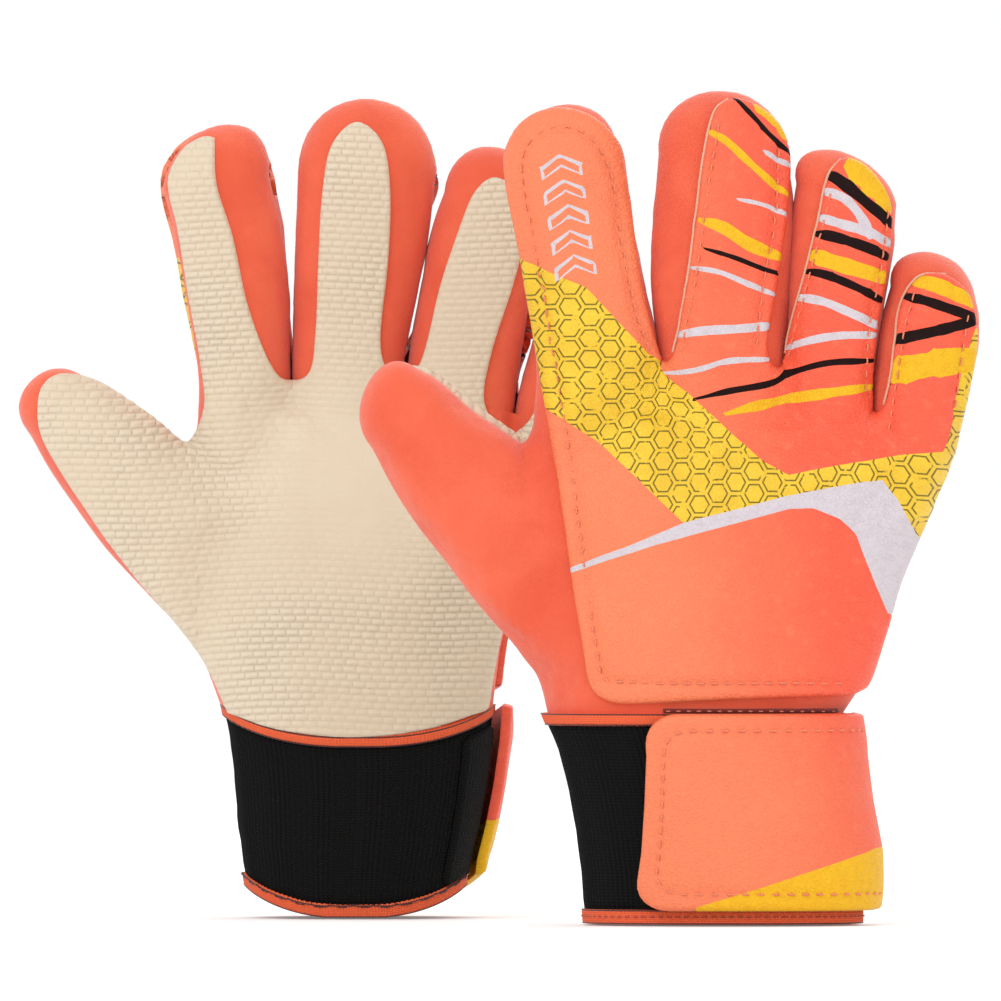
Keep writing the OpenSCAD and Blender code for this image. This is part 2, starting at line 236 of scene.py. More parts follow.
def spline(points, per, closed=False):
    """Catmull-Rom through points, with per steps between each two."""
    p = at(points)
    if closed:
        p = np.vstack([p[-1:], p, p[:2]])
    else:
        p = np.vstack([2 * p[0] - p[1], p, 2 * p[-1] - p[-2]])
    t = np.arange(per)[:, None] / per
    out = []
    for a, b, c, d in zip(p, p[1:], p[2:], p[3:]):
        out.append(0.5 * (2 * b + (c - a) * t + (2 * a - 5 * b + 4 * c - d) * t**2
                          + (3 * b - a - 3 * c + d) * t**3))
    return np.vstack(out if closed else [*out, p[-2:-1]])


def resample(path, step):
    """Evenly spaced points along a polyline."""
    run = np.concatenate([[0], np.cumsum(np.linalg.norm(np.diff(path, axis=0), axis=1))])
    n = max(2, int(round(run[-1] / step)) + 1)
    s = np.linspace(0, run[-1], n)
    return np.stack([np.interp(s, run, path[:, k]) for k in range(path.shape[1])], 1)


def outline(points, step=1.0):
    """A closed curve through points. A point that is given twice is a sharp corner."""
    p = [tuple(q) for q in points]
    corners = [i for i in range(len(p)) if p[i] == p[(i + 1) % len(p)]]
    if not corners:
        loop = spline(p, 8, closed=True)
        return resample(np.vstack([loop, loop[:1]]), step)[:-1]
    p = p[corners[0] + 1:] + p[:corners[0] + 1]
    runs, run = [], [p[0]]
    for a, b in zip(p, p[1:]):
        if a == b:
            runs.append(run)
            run = [b]
        else:
            run.append(b)
    runs.append(run + [p[0]])
    parts = [resample(spline(r, 8) if len(r) > 2 else at(r), step)[:-1] for r in runs if len(r) > 1]
    return np.vstack(parts)


def inside(points, polygon):
    """Which points are inside a polygon."""
    x, z = points[:, 0], points[:, 1]
    found = np.zeros(len(points), bool)
    for (x0, z0), (x1, z1) in zip(polygon, np.roll(polygon, -1, 0)):
        crosses = (z0 > z) != (z1 > z)
        if crosses.any():
            found ^= crosses & (x < (x1 - x0) * (z - z0) / (z1 - z0 + 1e-12) + x0)
    return found


def gap_to(points, path, closed=True):
    """Distance from each point to a polyline."""
    ends = np.roll(path, -1, 0) if closed else path[1:]
    starts = path if closed else path[:-1]
    best = np.full(len(points), 1e9)
    for a, b in zip(starts, ends):
        d = b - a
        t = np.clip(((points - a) @ d) / (d @ d + 1e-12), 0, 1)
        best = np.minimum(best, np.linalg.norm(points - (a + t[:, None] * d), axis=1))
    return best


def stroke(points, width, seed=0.0):
    """A brush stroke's outline: a curve whose width wavers and thins at both ends."""
    path = resample(spline(points, 8) if len(points) > 2 else at(points), 1.5)
    s = np.linspace(0, 1, len(path))
    w = width / 2 * (0.35 + 0.65 * np.minimum(1, 6 * np.minimum(s, 1 - s)))
    w = w * (1 + 0.22 * noise(s[:, None] * 10, 1.0, seed))
    side = unit(np.gradient(path, axis=0))[:, ::-1] * [-1, 1] * w[:, None]
    return np.vstack([path + side, (path - side)[::-1]])


# ---- Places in the frame ----

class Glove:
    """One glove's place, its joints in its own axes, and the lines that split it into hand, thumb and
    fingers.
    """

    def __init__(self, side):
        self.side = side
        self.flip = 1 if side == "left" else -1
        low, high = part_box(side + "_hem_binding")
        foot = cuff_row(side, 1.7)
        middle = (low + high) * 500
        self.origin = at([middle.x - (foot[0] + foot[1]) / 2, middle.y, 0])
        self.knuckles = {}
        for name in FINGERS:
            joint = JOINTS[f"{side}_{name}_flex"]
            axis = at(joint["axis"])
            along = self.flip * at([-axis[2], axis[0]])
            self.knuckles[name] = (self.local(joint["pos_m"])[[0, 2]], along)
        fold = JOINTS[f"{side}_thumb_fold"]
        self.fold = self.local(fold["pos_m"])[[0, 2]]
        self.fold_along = self.flip * at(fold["axis"])[[0, 2]]

    def local(self, metres):
        p = at(metres) * 1000 - self.origin
        return p * [1, self.flip, 1]

    def world(self, p):
        return (at(p) * [1, self.flip, 1] + self.origin) / 1000

    def thumb_field(self, p):
        """Above zero on the thumb's side of the fold, in x and z."""
        away = at([-self.fold_along[1], self.fold_along[0]])
        crotch = self.fold + self.fold_along * FOLD_HALF
        crease = unit(at(THUMB_CREASE[self.side]))
        left = at([-crease[1], crease[0]])
        return np.minimum((p - self.fold) @ away, (p - crotch) @ left)

    def knuckle_line(self):
        """The line that the fingers start at, across all four."""
        line = []
        for name in FINGERS:
            place, along = self.knuckles[name]
            across = at([along[1], -along[0]])
            line += [place - across * 10.5, place + across * 10.5]
        return at(line)

    def knuckle_field(self, p):
        line = self.knuckle_line()
        return p[:, 1] - np.interp(p[:, 0], line[:, 0], line[:, 1])

    def gap_lines(self):
        """The lines up through the gaps between fingers, a share of the way between their edges."""
        z = np.arange(120.0, 208.0, 2.0)
        lines = []
        for a, b, share in zip(FINGERS, FINGERS[1:], GAP_SHARE[self.side]):
            one, two = at(FINGER[self.side][a])[:, 2:4], at(FINGER[self.side][b])[:, :2]
            x = np.interp(z, one[:, 1], one[:, 0]) * (1 - share) + np.interp(z, two[:, 1], two[:, 0]) * share
            lines.append(np.stack([x, z], 1))
        return lines

    def part_of(self, p):
        """hand, thumb or a finger's name for each point in x and z."""
        names = np.full(len(p), "hand", dtype=object)
        names[self.thumb_field(p) > 0] = "thumb"
        up = (self.knuckle_field(p) > 0) & (names == "hand")
        passed = np.zeros(len(p), int)
        for line in self.gap_lines():
            passed += p[:, 0] > np.interp(p[:, 1], line[:, 1], line[:, 0])
        for k, name in enumerate(FINGERS):
            names[up & (passed == k)] = name
        return names

    def cut_lines(self):
        """Where sheets are cut into parts: the knuckles, the lines between fingers and the thumb's fold."""
        line = self.knuckle_line()
        ends = [line[:1] + [-9, 0], line, line[-1:] + [12, -2]]
        lines = [np.vstack(ends)]
        for gap in self.gap_lines():
            above = self.knuckle_field(gap)
            lines.append(gap[(above > -3) & (above < 14)])
        crotch = self.fold + self.fold_along * FOLD_HALF
        lines.append(at([self.fold - self.fold_along * 40, crotch]))
        return lines

    def body(self, part):
        return f"{self.side}_{part}"

    def attach(self, piece, part):
        """A hand piece rides on its body. A finger's or the thumb's piece is only fixed where it stands: the
        ends of its bend are worked out but not used.
        """
        if part in FINGERS:
            place, along = self.knuckles[part]
            start, end = place - along * 1.0, place + along * KNUCKLE_BLEND
        elif part == "thumb":
            away = at([-self.fold_along[1], self.fold_along[0]])
            start, end = self.fold, self.fold + away * FOLD_BLEND
        else:
            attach(piece, self.body(part))
            return piece
        ends = [Vector(self.world([q[0], 0, q[1]])) for q in (start, end)]
        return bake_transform(piece)


def cuff_row(side, z):
    rows = at(CUFF[side])
    return at([np.interp(z, rows[:, 0], rows[:, k]) for k in (1, 2, 3)])


def lift(side, p):
    """The left cuff's hem rises at its sides, and its upper edge dips at the front and the back."""
    if side == "right":
        return p
    p = at(p).copy()
    fade = 1 - smooth((p[:, 2] - CUFF_TOP - 2) / 32)
    bow = 1 - np.clip(np.abs(p[:, 1]) / 26, 0, 1) ** 2
    p[:, 2] += fade * (SCALLOP * bow - DIP * np.clip(p[:, 2] / CUFF_TOP, 0, 1))
    return p


# ---- Making objects ----

def one_colour(p):
    return np.zeros(len(p), int)


def build(glove, name, points, faces, materials, marks=None, rest=None, flat_walls=0):
    """An object from points in a glove's own millimetres. One with a CAD node's name stands for that node.
    The resting place of each point is kept for its material."""
    points = at(points)
    mesh = bpy.data.meshes.new(name)
    turn = faces if glove.flip > 0 else [tuple(reversed(f)) for f in faces]
    mesh.from_pydata([tuple(p) for p in glove.world(points)], [], [tuple(int(i) for i in f) for f in turn])
    for m in materials:
        mesh.materials.append(m)
    if marks is not None:
        mesh.polygons.foreach_set("material_index", np.array(marks, np.int32))
    keep = mesh.attributes.new("rest", "FLOAT_VECTOR", "POINT")
    keep.data.foreach_set("vector", (points if rest is None else at(rest)).astype(np.float32).ravel())
    rounded = np.ones(len(mesh.polygons), bool)
    if flat_walls:
        rounded[-flat_walls:] = False
    mesh.polygons.foreach_set("use_smooth", rounded)
    mesh.update()
    node = frame["nodes"].get(name)
    piece = bpy.data.objects.new(name + "_skin" if node else name, mesh)
    bpy.context.scene.collection.objects.link(piece)
    if node:
        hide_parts(name)
    return piece


def turned_normals(glove, normals):
    return unit(glove.world(normals) - glove.world(np.zeros((1, 3))))


def shade(glove, piece, normals, count):
    """Gives a sheet's two layers the whole sheet's normals, so no line shows where it is cut at a joint."""
    mesh = piece.data
    n = len(normals)
    turned = turned_normals(glove, normals)
    vertices = np.empty(len(mesh.loops), np.int32)
    mesh.loops.foreach_get("vertex_index", vertices)
    loops = turned[vertices % n]
    loops[count * 3:count * 6] *= -1
    faces = np.empty(len(mesh.polygons) * 3)
    mesh.polygons.foreach_get("normal", faces)
    loops[count * 6:] = np.repeat(faces.reshape(-1, 3)[count * 2:], 4, 0)
    mesh.normals_split_custom_set(loops.tolist())


def shade_all(glove, piece, normals):
    """Gives each point the normal it has on the whole skin."""
    piece.data.normals_split_custom_set_from_vertices(turned_normals(glove, normals).tolist())


def grid_faces(rows, columns, closed=True, first=0):
    faces = []
    for j in range(rows - 1):
        for i in range(columns if closed else columns - 1):
            k = (i + 1) % columns
            faces.append((first + j * columns + i, first + j * columns + k,
                          first + (j + 1) * columns + k, first + (j + 1) * columns + i))
    return faces


def ring(row, steps, e=ROUNDNESS):
    """A cross-section's points, from the little-finger edge round by the back."""
    ax, az, bx, bz, y, t = row
    a = np.linspace(0, 2 * math.pi, steps, endpoint=False)
    across, out = power(np.cos(a), e), power(np.sin(a), e)
    x = (ax + bx) / 2 + (bx - ax) / 2 * across
    z = (az + bz) / 2 + (bz - az) / 2 * across
    return np.stack([x, y + t * out, z], 1)


def loft(rows, tip=None, steps=64, per=6, inset=0.0):
    """Points and faces of a closed skin through cross-sections, with a domed tip."""
    rows = spline(rows, per)
    if inset:
        half = np.linalg.norm(rows[:, 2:4] - rows[:, :2], axis=1) / 2
        share = (half - inset) / half
        middle = (rows[:, :2] + rows[:, 2:4]) / 2
        rows[:, :2] = middle + (rows[:, :2] - middle) * share[:, None]
        rows[:, 2:4] = middle + (rows[:, 2:4] - middle) * share[:, None]
        rows[:, 5] -= inset
    rings = [ring(r, steps) for r in rows]
    last = rows[-1]
    middle = (last[:2] + last[2:4]) / 2
    if tip is not None:
        reach = at(tip) - middle
        reach = reach * (1 - inset / np.linalg.norm(reach))
        for k in range(1, 9):
            a = math.radians(k * 10.6)
            centre = middle + reach * math.sin(a)
            half = (last[2:4] - last[:2]) / 2 * math.cos(a) ** 0.92
            rings.append(ring([*(centre - half), *(centre + half), last[4] - 0.8 * math.sin(a),
                               last[5] * math.cos(a) ** 0.92], steps))
    points = np.vstack(rings)
    faces = grid_faces(len(rings), steps)
    top = len(points)
    centres = np.stack([rings[-1].mean(0), rings[0].mean(0)])
    points = np.vstack([points, centres])
    faces += [(top - steps + i, top - steps + (i + 1) % steps, top) for i in range(steps)]
    faces += [((i + 1) % steps, i, top + 1) for i in range(steps)]
    return points, faces


def finger_rows(glove, name):
    rows = []
    outline_rows = FINGER[glove.side][name]
    tip = FINGER_TIP[glove.side][name]
    for row, t in zip(outline_rows, FINGER_THICK):
        middle_z = (row[1] + row[3]) / 2
        share = max(0.0, (middle_z - 130) / (tip[1] - 130))
        rows.append([*row, -CURL * share**2, t])
    return rows, tip


def body_rows(table):
    return [[*row[:4], 0, row[4]] for row in table]


def remeshed(points, faces, voxel, steps):
    """The points and polygons of a voxel skin over several overlapping ones."""
    mesh = bpy.data.meshes.new("raw")
    mesh.from_pydata([tuple(p) for p in points], [], faces)
    temp = bpy.data.objects.new("raw", mesh)
    bpy.context.scene.collection.objects.link(temp)
    cover = temp.modifiers.new("cover", "REMESH")
    cover.mode = "VOXEL"
    cover.voxel_size = voxel
    ease = temp.modifiers.new("ease", "SMOOTH")
    ease.iterations = steps
    ease.factor = 0.5
    graph = bpy.context.evaluated_depsgraph_get()
    done = temp.evaluated_get(graph).to_mesh()
    co = np.empty(len(done.vertices) * 3, np.float32)
    done.vertices.foreach_get("co", co)
    polygons = [tuple(p.vertices) for p in done.polygons]
    temp.evaluated_get(graph).to_mesh_clear()
    bpy.data.objects.remove(temp)
    return co.reshape(-1, 3).astype(float), polygons


def together(parts):
    points, faces, n = [], [], 0
    for p, f in parts:
        points.append(p)
        faces += [tuple(i + n for i in g) for g in f]
        n += len(p)
    return np.vstack(points), faces


def base_skin(glove, inset=0.0, voxel=VOXEL, fingers=True):
    side = glove.side
    parts = [loft(body_rows(HAND[side]), inset=inset),
             loft(body_rows(THUMB[side]), THUMB_TIP[side], inset=inset)]
    if fingers:
        parts += [loft(*finger_rows(glove, name)) for name in FINGERS]
    points, faces = together(parts)
    points, polygons = remeshed(points, faces, voxel, 8)
    return lift(side, points), polygons


def settled(glove):
    """A short cloth run on a coarse copy of the glove's skin: filled with air, held at its side seams and its
    wrist, and cut a little too large, so it puckers. Gives a function that moves any points the same way."""
    start, polygons = base_skin(glove, voxel=COARSE)
    mesh = bpy.data.meshes.new("cloth")
    mesh.from_pydata([tuple(p) for p in start * CLOTH_SCALE], [], polygons)
    temp = bpy.data.objects.new("cloth", mesh)
    scene = bpy.context.scene
    scene.collection.objects.link(temp)
    held = (np.abs(start[:, 1]) < 2.2) | (start[:, 2] < CUFF_TOP + 4)
    temp.vertex_groups.new(name="held").add([int(i) for i in np.flatnonzero(held)], 1.0, "REPLACE")
    cloth = temp.modifiers.new("cloth", "CLOTH")
    made = cloth.settings
    made.vertex_group_mass = "held"
    made.quality = 6
    made.mass = 0.2
    made.tension_stiffness, made.compression_stiffness = 25, 25
    made.shear_stiffness, made.bending_stiffness = 8, 0.4
    made.tension_damping, made.compression_damping, made.shear_damping = 8, 8, 8
    made.shrink_min = -CLOTH_SPARE
    made.use_pressure = True
    made.uniform_pressure_force = CLOTH_PRESSURE
    made.effector_weights.gravity = 0
    cloth.collision_settings.use_collision = False
    cloth.point_cache.frame_start, cloth.point_cache.frame_end = 1, CLOTH_FRAMES
    for frame in range(1, CLOTH_FRAMES + 1):
        scene.frame_set(frame)
    ended = temp.evaluated_get(bpy.context.evaluated_depsgraph_get())
    co = np.empty(len(start) * 3, np.float32)
    ended.data.vertices.foreach_get("co", co)
    shift = co.reshape(-1, 3) / CLOTH_SCALE - start
    bpy.data.objects.remove(temp)
    scene.frame_set(1)
    size = np.linalg.norm(shift, axis=1)
    shift *= np.tanh(size / CLOTH_REACH)[:, None] * CLOTH_REACH / np.maximum(size, 1e-6)[:, None]
    tree = KDTree(len(start))
    for k, p in enumerate(start):
        tree.insert(p, k)
    tree.balance()

    def moved(points):
        out = points.copy()
        for k, p in enumerate(points):
            near = tree.find_n(p, 5)
            weight = np.array([1 / (0.3 + d) ** 2 for _, _, d in near])
            out[k] += weight @ shift[[i for _, i, _ in near]] / weight.sum()
        return out

    return moved


def skin_normals(points, polygons):
    quads = np.array(polygons)
    return point_normals(points, np.vstack([quads[:, :3], quads[:, [0, 2, 3]]]))


def clipped(points, faces, field):
    """The part of a skin where a field over its points isn't below zero."""
    value = field(points)
    new_points, new_index, cuts, out = [], {}, {}, []

    def keep(i):
        if i not in new_index:
            new_index[i] = len(new_points)
            new_points.append(points[i])
        return new_index[i]

    def cut(i, j):
        key = (min(i, j), max(i, j))
        if key not in cuts:
            a, b = key
            t = value[a] / (value[a] - value[b])
            cuts[key] = len(new_points)
            new_points.append(points[a] + (points[b] - points[a]) * t)
        return cuts[key]

    good = value >= 0
    for f in faces:
        flags = [good[i] for i in f]
        if all(flags):
            out.append(tuple(keep(i) for i in f))
        elif any(flags):
            g = []
            for i, j in zip(f, (*f[1:], f[0])):
                if good[i]:
                    g.append(keep(i))
                if good[i] != good[j]:
                    g.append(cut(i, j))
            if len(g) > 2:
                out.append(tuple(g))
    return at(new_points), out


def thicken(piece, thickness):
    """Fabric has two faces: the inner one lies a thickness inside. Its rims are kept crisp."""
    mesh = piece.data
    edges = np.empty(len(mesh.loops), np.int32)
    mesh.loops.foreach_get("edge_index", edges)
    mesh.edges.foreach_set("use_edge_sharp", np.bincount(edges, minlength=len(mesh.edges)) == 1)
    wall = piece.modifiers.new("wall", "SOLIDIFY")
    wall.thickness = thickness / 1000
    wall.offset = -1
    wall.use_even_offset = False


# ---- Sheets: outlines cut, laid on a surface and given their thickness ----

class Surface:
    """A skin that sheets are laid on from the palm's side or the back's."""

    def __init__(self, points, polygons):
        self.tree = BVHTree.FromPolygons([tuple(p) for p in points], polygons)

    def put(self, flat, way):
        """A flat pattern's points moved onto the skin along y. way is -1 for the palm, 1 for the back."""
        spots = np.zeros((len(flat), 3))
        for k, (x, z) in enumerate(flat):
            hit = self.tree.ray_cast((x, 90.0 * way, z), (0, -way, 0))
            if hit[0] is None or hit[0][1] * way < -9:
                hit = self.tree.find_nearest((x, 1.5 * way, z))
            spots[k] = hit[0]
        return spots


def pattern(edge, cuts=(), marks=(), spacing=(1.2, 1.2)):
    """Triangles of a flat outline, with its cut lines and its printed shapes as edges."""
    low, high = edge.min(0), edge.max(0)
    xs = np.arange(low[0], high[0], spacing[0])
    zs = np.arange(low[1], high[1], spacing[1])
    grid = np.array([(x + (spacing[0] / 2 if k % 2 else 0), z) for k, z in enumerate(zs) for x in xs])
    grid = grid[inside(grid, edge)]
    inward = unit(np.roll(edge, -1, 0) - np.roll(edge, 1, 0))[:, ::-1] * [-1, 1]
    if inside(edge + inward * 0.3, edge).mean() < 0.5:
        inward = -inward
    rims = []
    for d in (0.35, 0.8, 1.5):
        rim = edge + inward * d
        rims.append(rim[inside(rim, edge)])
        rims[-1] = rims[-1][gap_to(rims[-1], edge) > d * 0.9]
    grid = grid[gap_to(grid, edge) > 1.9]
    points, lines = [edge], [(i, (i + 1) % len(edge)) for i in range(len(edge))]
    n = len(edge)
    for path, closed in [(c, False) for c in cuts] + [(m, True) for m in marks]:
        path = resample(np.vstack([path, path[:1]]) if closed else path, 1.2)
        points.append(path)
        lines += [(n + i, n + i + 1) for i in range(len(path) - 1)]
        n += len(path)
    everything = np.vstack([*points, *rims, grid])
    flat, _, faces, *_ = delaunay_2d_cdt([tuple(p) for p in everything], lines, [], 0, 1e-5, False)
    flat = at([tuple(p) for p in flat])
    faces = np.array([f for f in faces], int)
    centre = flat[faces].mean(1)
    faces = faces[inside(centre, edge)]
    return flat, faces


def point_normals(points, faces):
    a, b, c = (points[faces[:, k]] for k in range(3))
    n = np.cross(b - a, c - a)
    total = np.zeros_like(points)
    for k in range(3):
        np.add.at(total, faces[:, k], n)
    return unit(total)


def eased(values, faces, rounds):
    """Values at the points, each moved towards its neighbours' mean a number of times."""
    here = np.concatenate([faces[:, k] for k in (0, 0, 1, 1, 2, 2)])
    there = np.concatenate([faces[:, k] for k in (1, 2, 0, 2, 0, 1)])
    count = np.maximum(np.bincount(here, minlength=len(values)), 1)
    for _ in range(rounds):
        total = [np.bincount(here, values[there, k], len(values)) / count for k in range(values.shape[1])]
        values = (values + np.stack(total, 1)) / 2
    return values


def lip(distance, radius):
    """A rounded edge: 0 at the rim and 1 from one radius inwards."""
    s = 1 - np.clip(distance / radius, 0, 1)
    return np.sqrt(np.maximum(0, 1 - s * s)) * 0.85 + 0.15


def slab(top, bottom, faces, kinds):
    """A closed solid between two layers of the same triangles."""
    used, flipped = np.unique(faces, return_inverse=True)
    faces = flipped.reshape(faces.shape)
    n = len(used)
    points = np.vstack([top[used], bottom[used]])
    edges = {}
    for k, f in enumerate(faces):
        for i, j in ((f[0], f[1]), (f[1], f[2]), (f[2], f[0])):
            edges[(i, j)] = k
    walls = [(i, i + n, j + n, j) for i, j in edges if (j, i) not in edges]
    wall_kinds = [kinds[edges[(w[0], w[3])]] for w in walls]
    solid = [tuple(f) for f in faces] + [(f[0] + n, f[2] + n, f[1] + n) for f in faces] + walls
    return points, solid, [*kinds, *kinds, *wall_kinds], used, len(walls)


# ---- Materials ----

class Graph:
    """A material's nodes. Patterns read the piece's resting place in millimetres, so they never slide."""

    def __init__(self, name):
        self.material = bpy.data.materials.new(name)
        self.material.use_nodes = True
        self.tree = self.material.node_tree
        self.shader = self.tree.nodes["Principled BSDF"]
        self.place = self.node("ShaderNodeAttribute", "Vector")
        self.place.node.attribute_name = "rest"

    def node(self, kind, out=0, **inputs):
        node = self.tree.nodes.new(kind)
        for key in ("operation", "feature"):
            if key in inputs:
                setattr(node, key, inputs.pop(key))
        for key, value in inputs.items():
            numbered = key[0] == "i" and key[1:].isdigit()
            self.put(value, node.inputs[int(key[1:]) if numbered else key])
        return node.outputs[out]

    def put(self, value, socket):
        if isinstance(value, bpy.types.NodeSocket):
            self.tree.links.new(value, socket)
        else:
            socket.default_value = value

    def split(self, vector):
        """A vector's x, y and z."""
        node = self.tree.nodes.new("ShaderNodeSeparateXYZ")
        self.put(vector, node.inputs[0])
        return list(node.outputs)

    def x_and_z(self):
        x, _, z = self.split(self.place)
        return x, z

    def math(self, operation, a, b=0.0, c=0.0):
        return self.node("ShaderNodeMath", operation=operation, i0=a, i1=b, i2=c)

    def add(self, a, b):
        return self.math("ADD", a, b)

    def sub(self, a, b):
        return self.math("SUBTRACT", a, b)

    def mul(self, a, b):
        return self.math("MULTIPLY", a, b)

    def sine(self, a):
        return self.math("SINE", a)

    def absolute(self, a):
        return self.math("ABSOLUTE", a)

    def vector(self, operation, out=0, **inputs):
        return self.node("ShaderNodeVectorMath", out, operation=operation, **inputs)

    def noise(self, scale, detail=2.0, distortion=0.0):
        return self.node("ShaderNodeTexNoise", "Fac", Vector=self.place, Scale=scale, Detail=detail,
                         Distortion=distortion)

    def blend(self, amount, a, b, kind="RGBA"):
        """From a to b by amount. The node's sockets lie at other places for colours than for vectors."""
        first, out = (6, 2) if kind == "RGBA" else (4, 1)
        node = self.tree.nodes.new("ShaderNodeMix")
        node.data_type = kind
        self.put(amount, node.inputs[0])
        self.put(a, node.inputs[first])
        self.put(b, node.inputs[first + 1])
        return node.outputs[out]

    def band(self, value, low, high):
        """0 below low and 1 above high."""
        node = self.tree.nodes.new("ShaderNodeMapRange")
        node.interpolation_type = "SMOOTHSTEP"
        for key, v in (("Value", value), ("From Min", low), ("From Max", high)):
            self.put(v, node.inputs[key])
        return node.outputs[0]

    def finish(self, colour, height=None, depth=0.2, roughness=0.6, sheen=0.0, coat=0.0, specular=0.4):
        self.put(colour, self.shader.inputs["Base Color"])
        self.put(roughness, self.shader.inputs["Roughness"])
        self.shader.inputs["Specular IOR Level"].default_value = specular
        self.shader.inputs["Sheen Weight"].default_value = sheen
        self.shader.inputs["Sheen Roughness"].default_value = 0.5
        self.shader.inputs["Coat Weight"].default_value = coat
        self.shader.inputs["Coat Roughness"].default_value = 0.35
        if height is not None:
            bump = self.node("ShaderNodeBump", "Normal", Height=height, Distance=depth / 1000, Strength=1.0)
            self.put(bump, self.shader.inputs["Normal"])
        return self.material


def linear(r, g, b):
    """A colour given as 0 to 255, as light."""
    def one(v):
        v /= 255
        return v / 12.92 if v <= 0.04045 else ((v + 0.055) / 1.055) ** 2.4
    return (one(r), one(g), one(b), 1.0)


def grain(g, size=0.9):
    """Fine leather grain: small cells with soft creases between them."""
    cells = g.node("ShaderNodeTexVoronoi", "Distance", feature="DISTANCE_TO_EDGE", Vector=g.place, Scale=size)
    return g.add(g.band(cells, 0.0, 0.25), g.mul(g.noise(2.2, 3), 0.5))


def knit_material(name, main, deep, rib=0.55):
    """Coated knit: close wales with soft cloudy shading."""
    g = Graph(name)
    x, z = g.x_and_z()
    wale = g.sine(g.mul(x, 2 * math.pi / rib))
    course = g.sine(g.mul(z, 2 * math.pi / (rib * 0.8)))
    weave = g.mul(g.mul(wale, course), 0.25)
    cloud = g.noise(0.045, 4, distortion=0.6)
    fuzz = g.noise(1.6, 3)
    colour = g.blend(g.band(cloud, 0.3, 0.72), deep, main)
    colour = g.blend(g.mul(g.band(fuzz, 0.45, 0.8), 0.18), colour, deep)
    height = g.add(g.add(weave, g.mul(fuzz, 0.8)), g.mul(g.noise(0.18, 3), 1.5))
    return g.finish(colour, height, 0.28, 0.62, sheen=0.25, specular=0.3)


def latex_material():
    """Foam latex: pale cream with fine pores, and painted shade that darkens the grooves between the embossed
    bars.
    """
    g = Graph("latex_foam")
    cloud = g.noise(0.03, 3)
    pores = g.noise(3.2, 3)
    x, z = g.x_and_z()
    rise = g.mul(g.sine(g.mul(x, 0.09)), 0.6)
    row = g.math("DIVIDE", g.add(z, rise), ROW)
    across = g.absolute(g.sine(g.mul(row, math.pi)))
    count = g.math("FLOOR", row)
    shift = g.mul(g.math("FLOORED_MODULO", count, 2.0), 0.5)
    shift = g.add(shift, g.mul(g.sine(g.mul(count, 2.3)), 0.15))
    step = g.mul(g.add(g.math("DIVIDE", x, BAR), shift), math.pi)
    bar = g.mul(across, g.math("POWER", g.absolute(g.sine(step)), 0.5))
    away = g.vector("SUBTRACT", i0=g.place, i1=(WORN[0][0], 0.0, WORN[0][1]))
    away = g.vector("DIVIDE", i0=away, i1=(WORN[1][0], 1.0, WORN[1][1]))
    far = g.vector("LENGTH", "Value", i0=away)
    fresh = g.mul(g.band(far, 0.3, 1.6), g.add(0.5, g.band(cloud, 0.35, 0.7)))
    # Painted shade: the colour darkens in the grooves between the raised bars, less where the palm is pressed
    # flat.
    groove = g.mul(g.sub(1.0, g.band(bar, 0.05, 0.5)), fresh)
    colour = g.blend(g.band(cloud, 0.3, 0.7), linear(212, 195, 171), linear(219, 204, 181))
    colour = g.blend(g.mul(groove, 0.3), colour, linear(180, 160, 132))
    colour = g.blend(g.mul(g.band(pores, 0.5, 0.75), 0.2), colour, linear(190, 168, 138))
    height = g.add(g.mul(pores, 0.6), g.mul(g.mul(bar, fresh), 1.6))
    return g.finish(colour, height, 0.2, 0.78, sheen=0.1, specular=0.2)


def leather_material(name, main, deep, lighter=None, roughness=0.5):
    """Printed synthetic leather: fine grain, and a colour that deepens across the glove."""
    g = Graph(name)
    x, z = g.x_and_z()
    slope = g.add(g.mul(x, 0.013), g.mul(z, 0.002))
    slope = g.add(slope, g.mul(g.noise(0.05, 3), 0.35))
    colour = g.blend(g.band(slope, 0.0, 0.75), main, deep)
    if lighter:
        colour = g.blend(g.mul(g.band(g.noise(0.35, 4), 0.52, 0.75), 0.25), colour, lighter)
    return g.finish(colour, grain(g), 0.12, roughness, coat=0.04, specular=0.35)


def ink_material(name, main, deep, roughness=0.45):
    """Printed ink: a little cloudy, over the leather's grain."""
    g = Graph(name)
    colour = g.blend(g.mul(g.band(g.noise(0.5, 4), 0.4, 0.75), 0.5), main, deep)
    return g.finish(colour, grain(g), 0.12, roughness, specular=0.12)


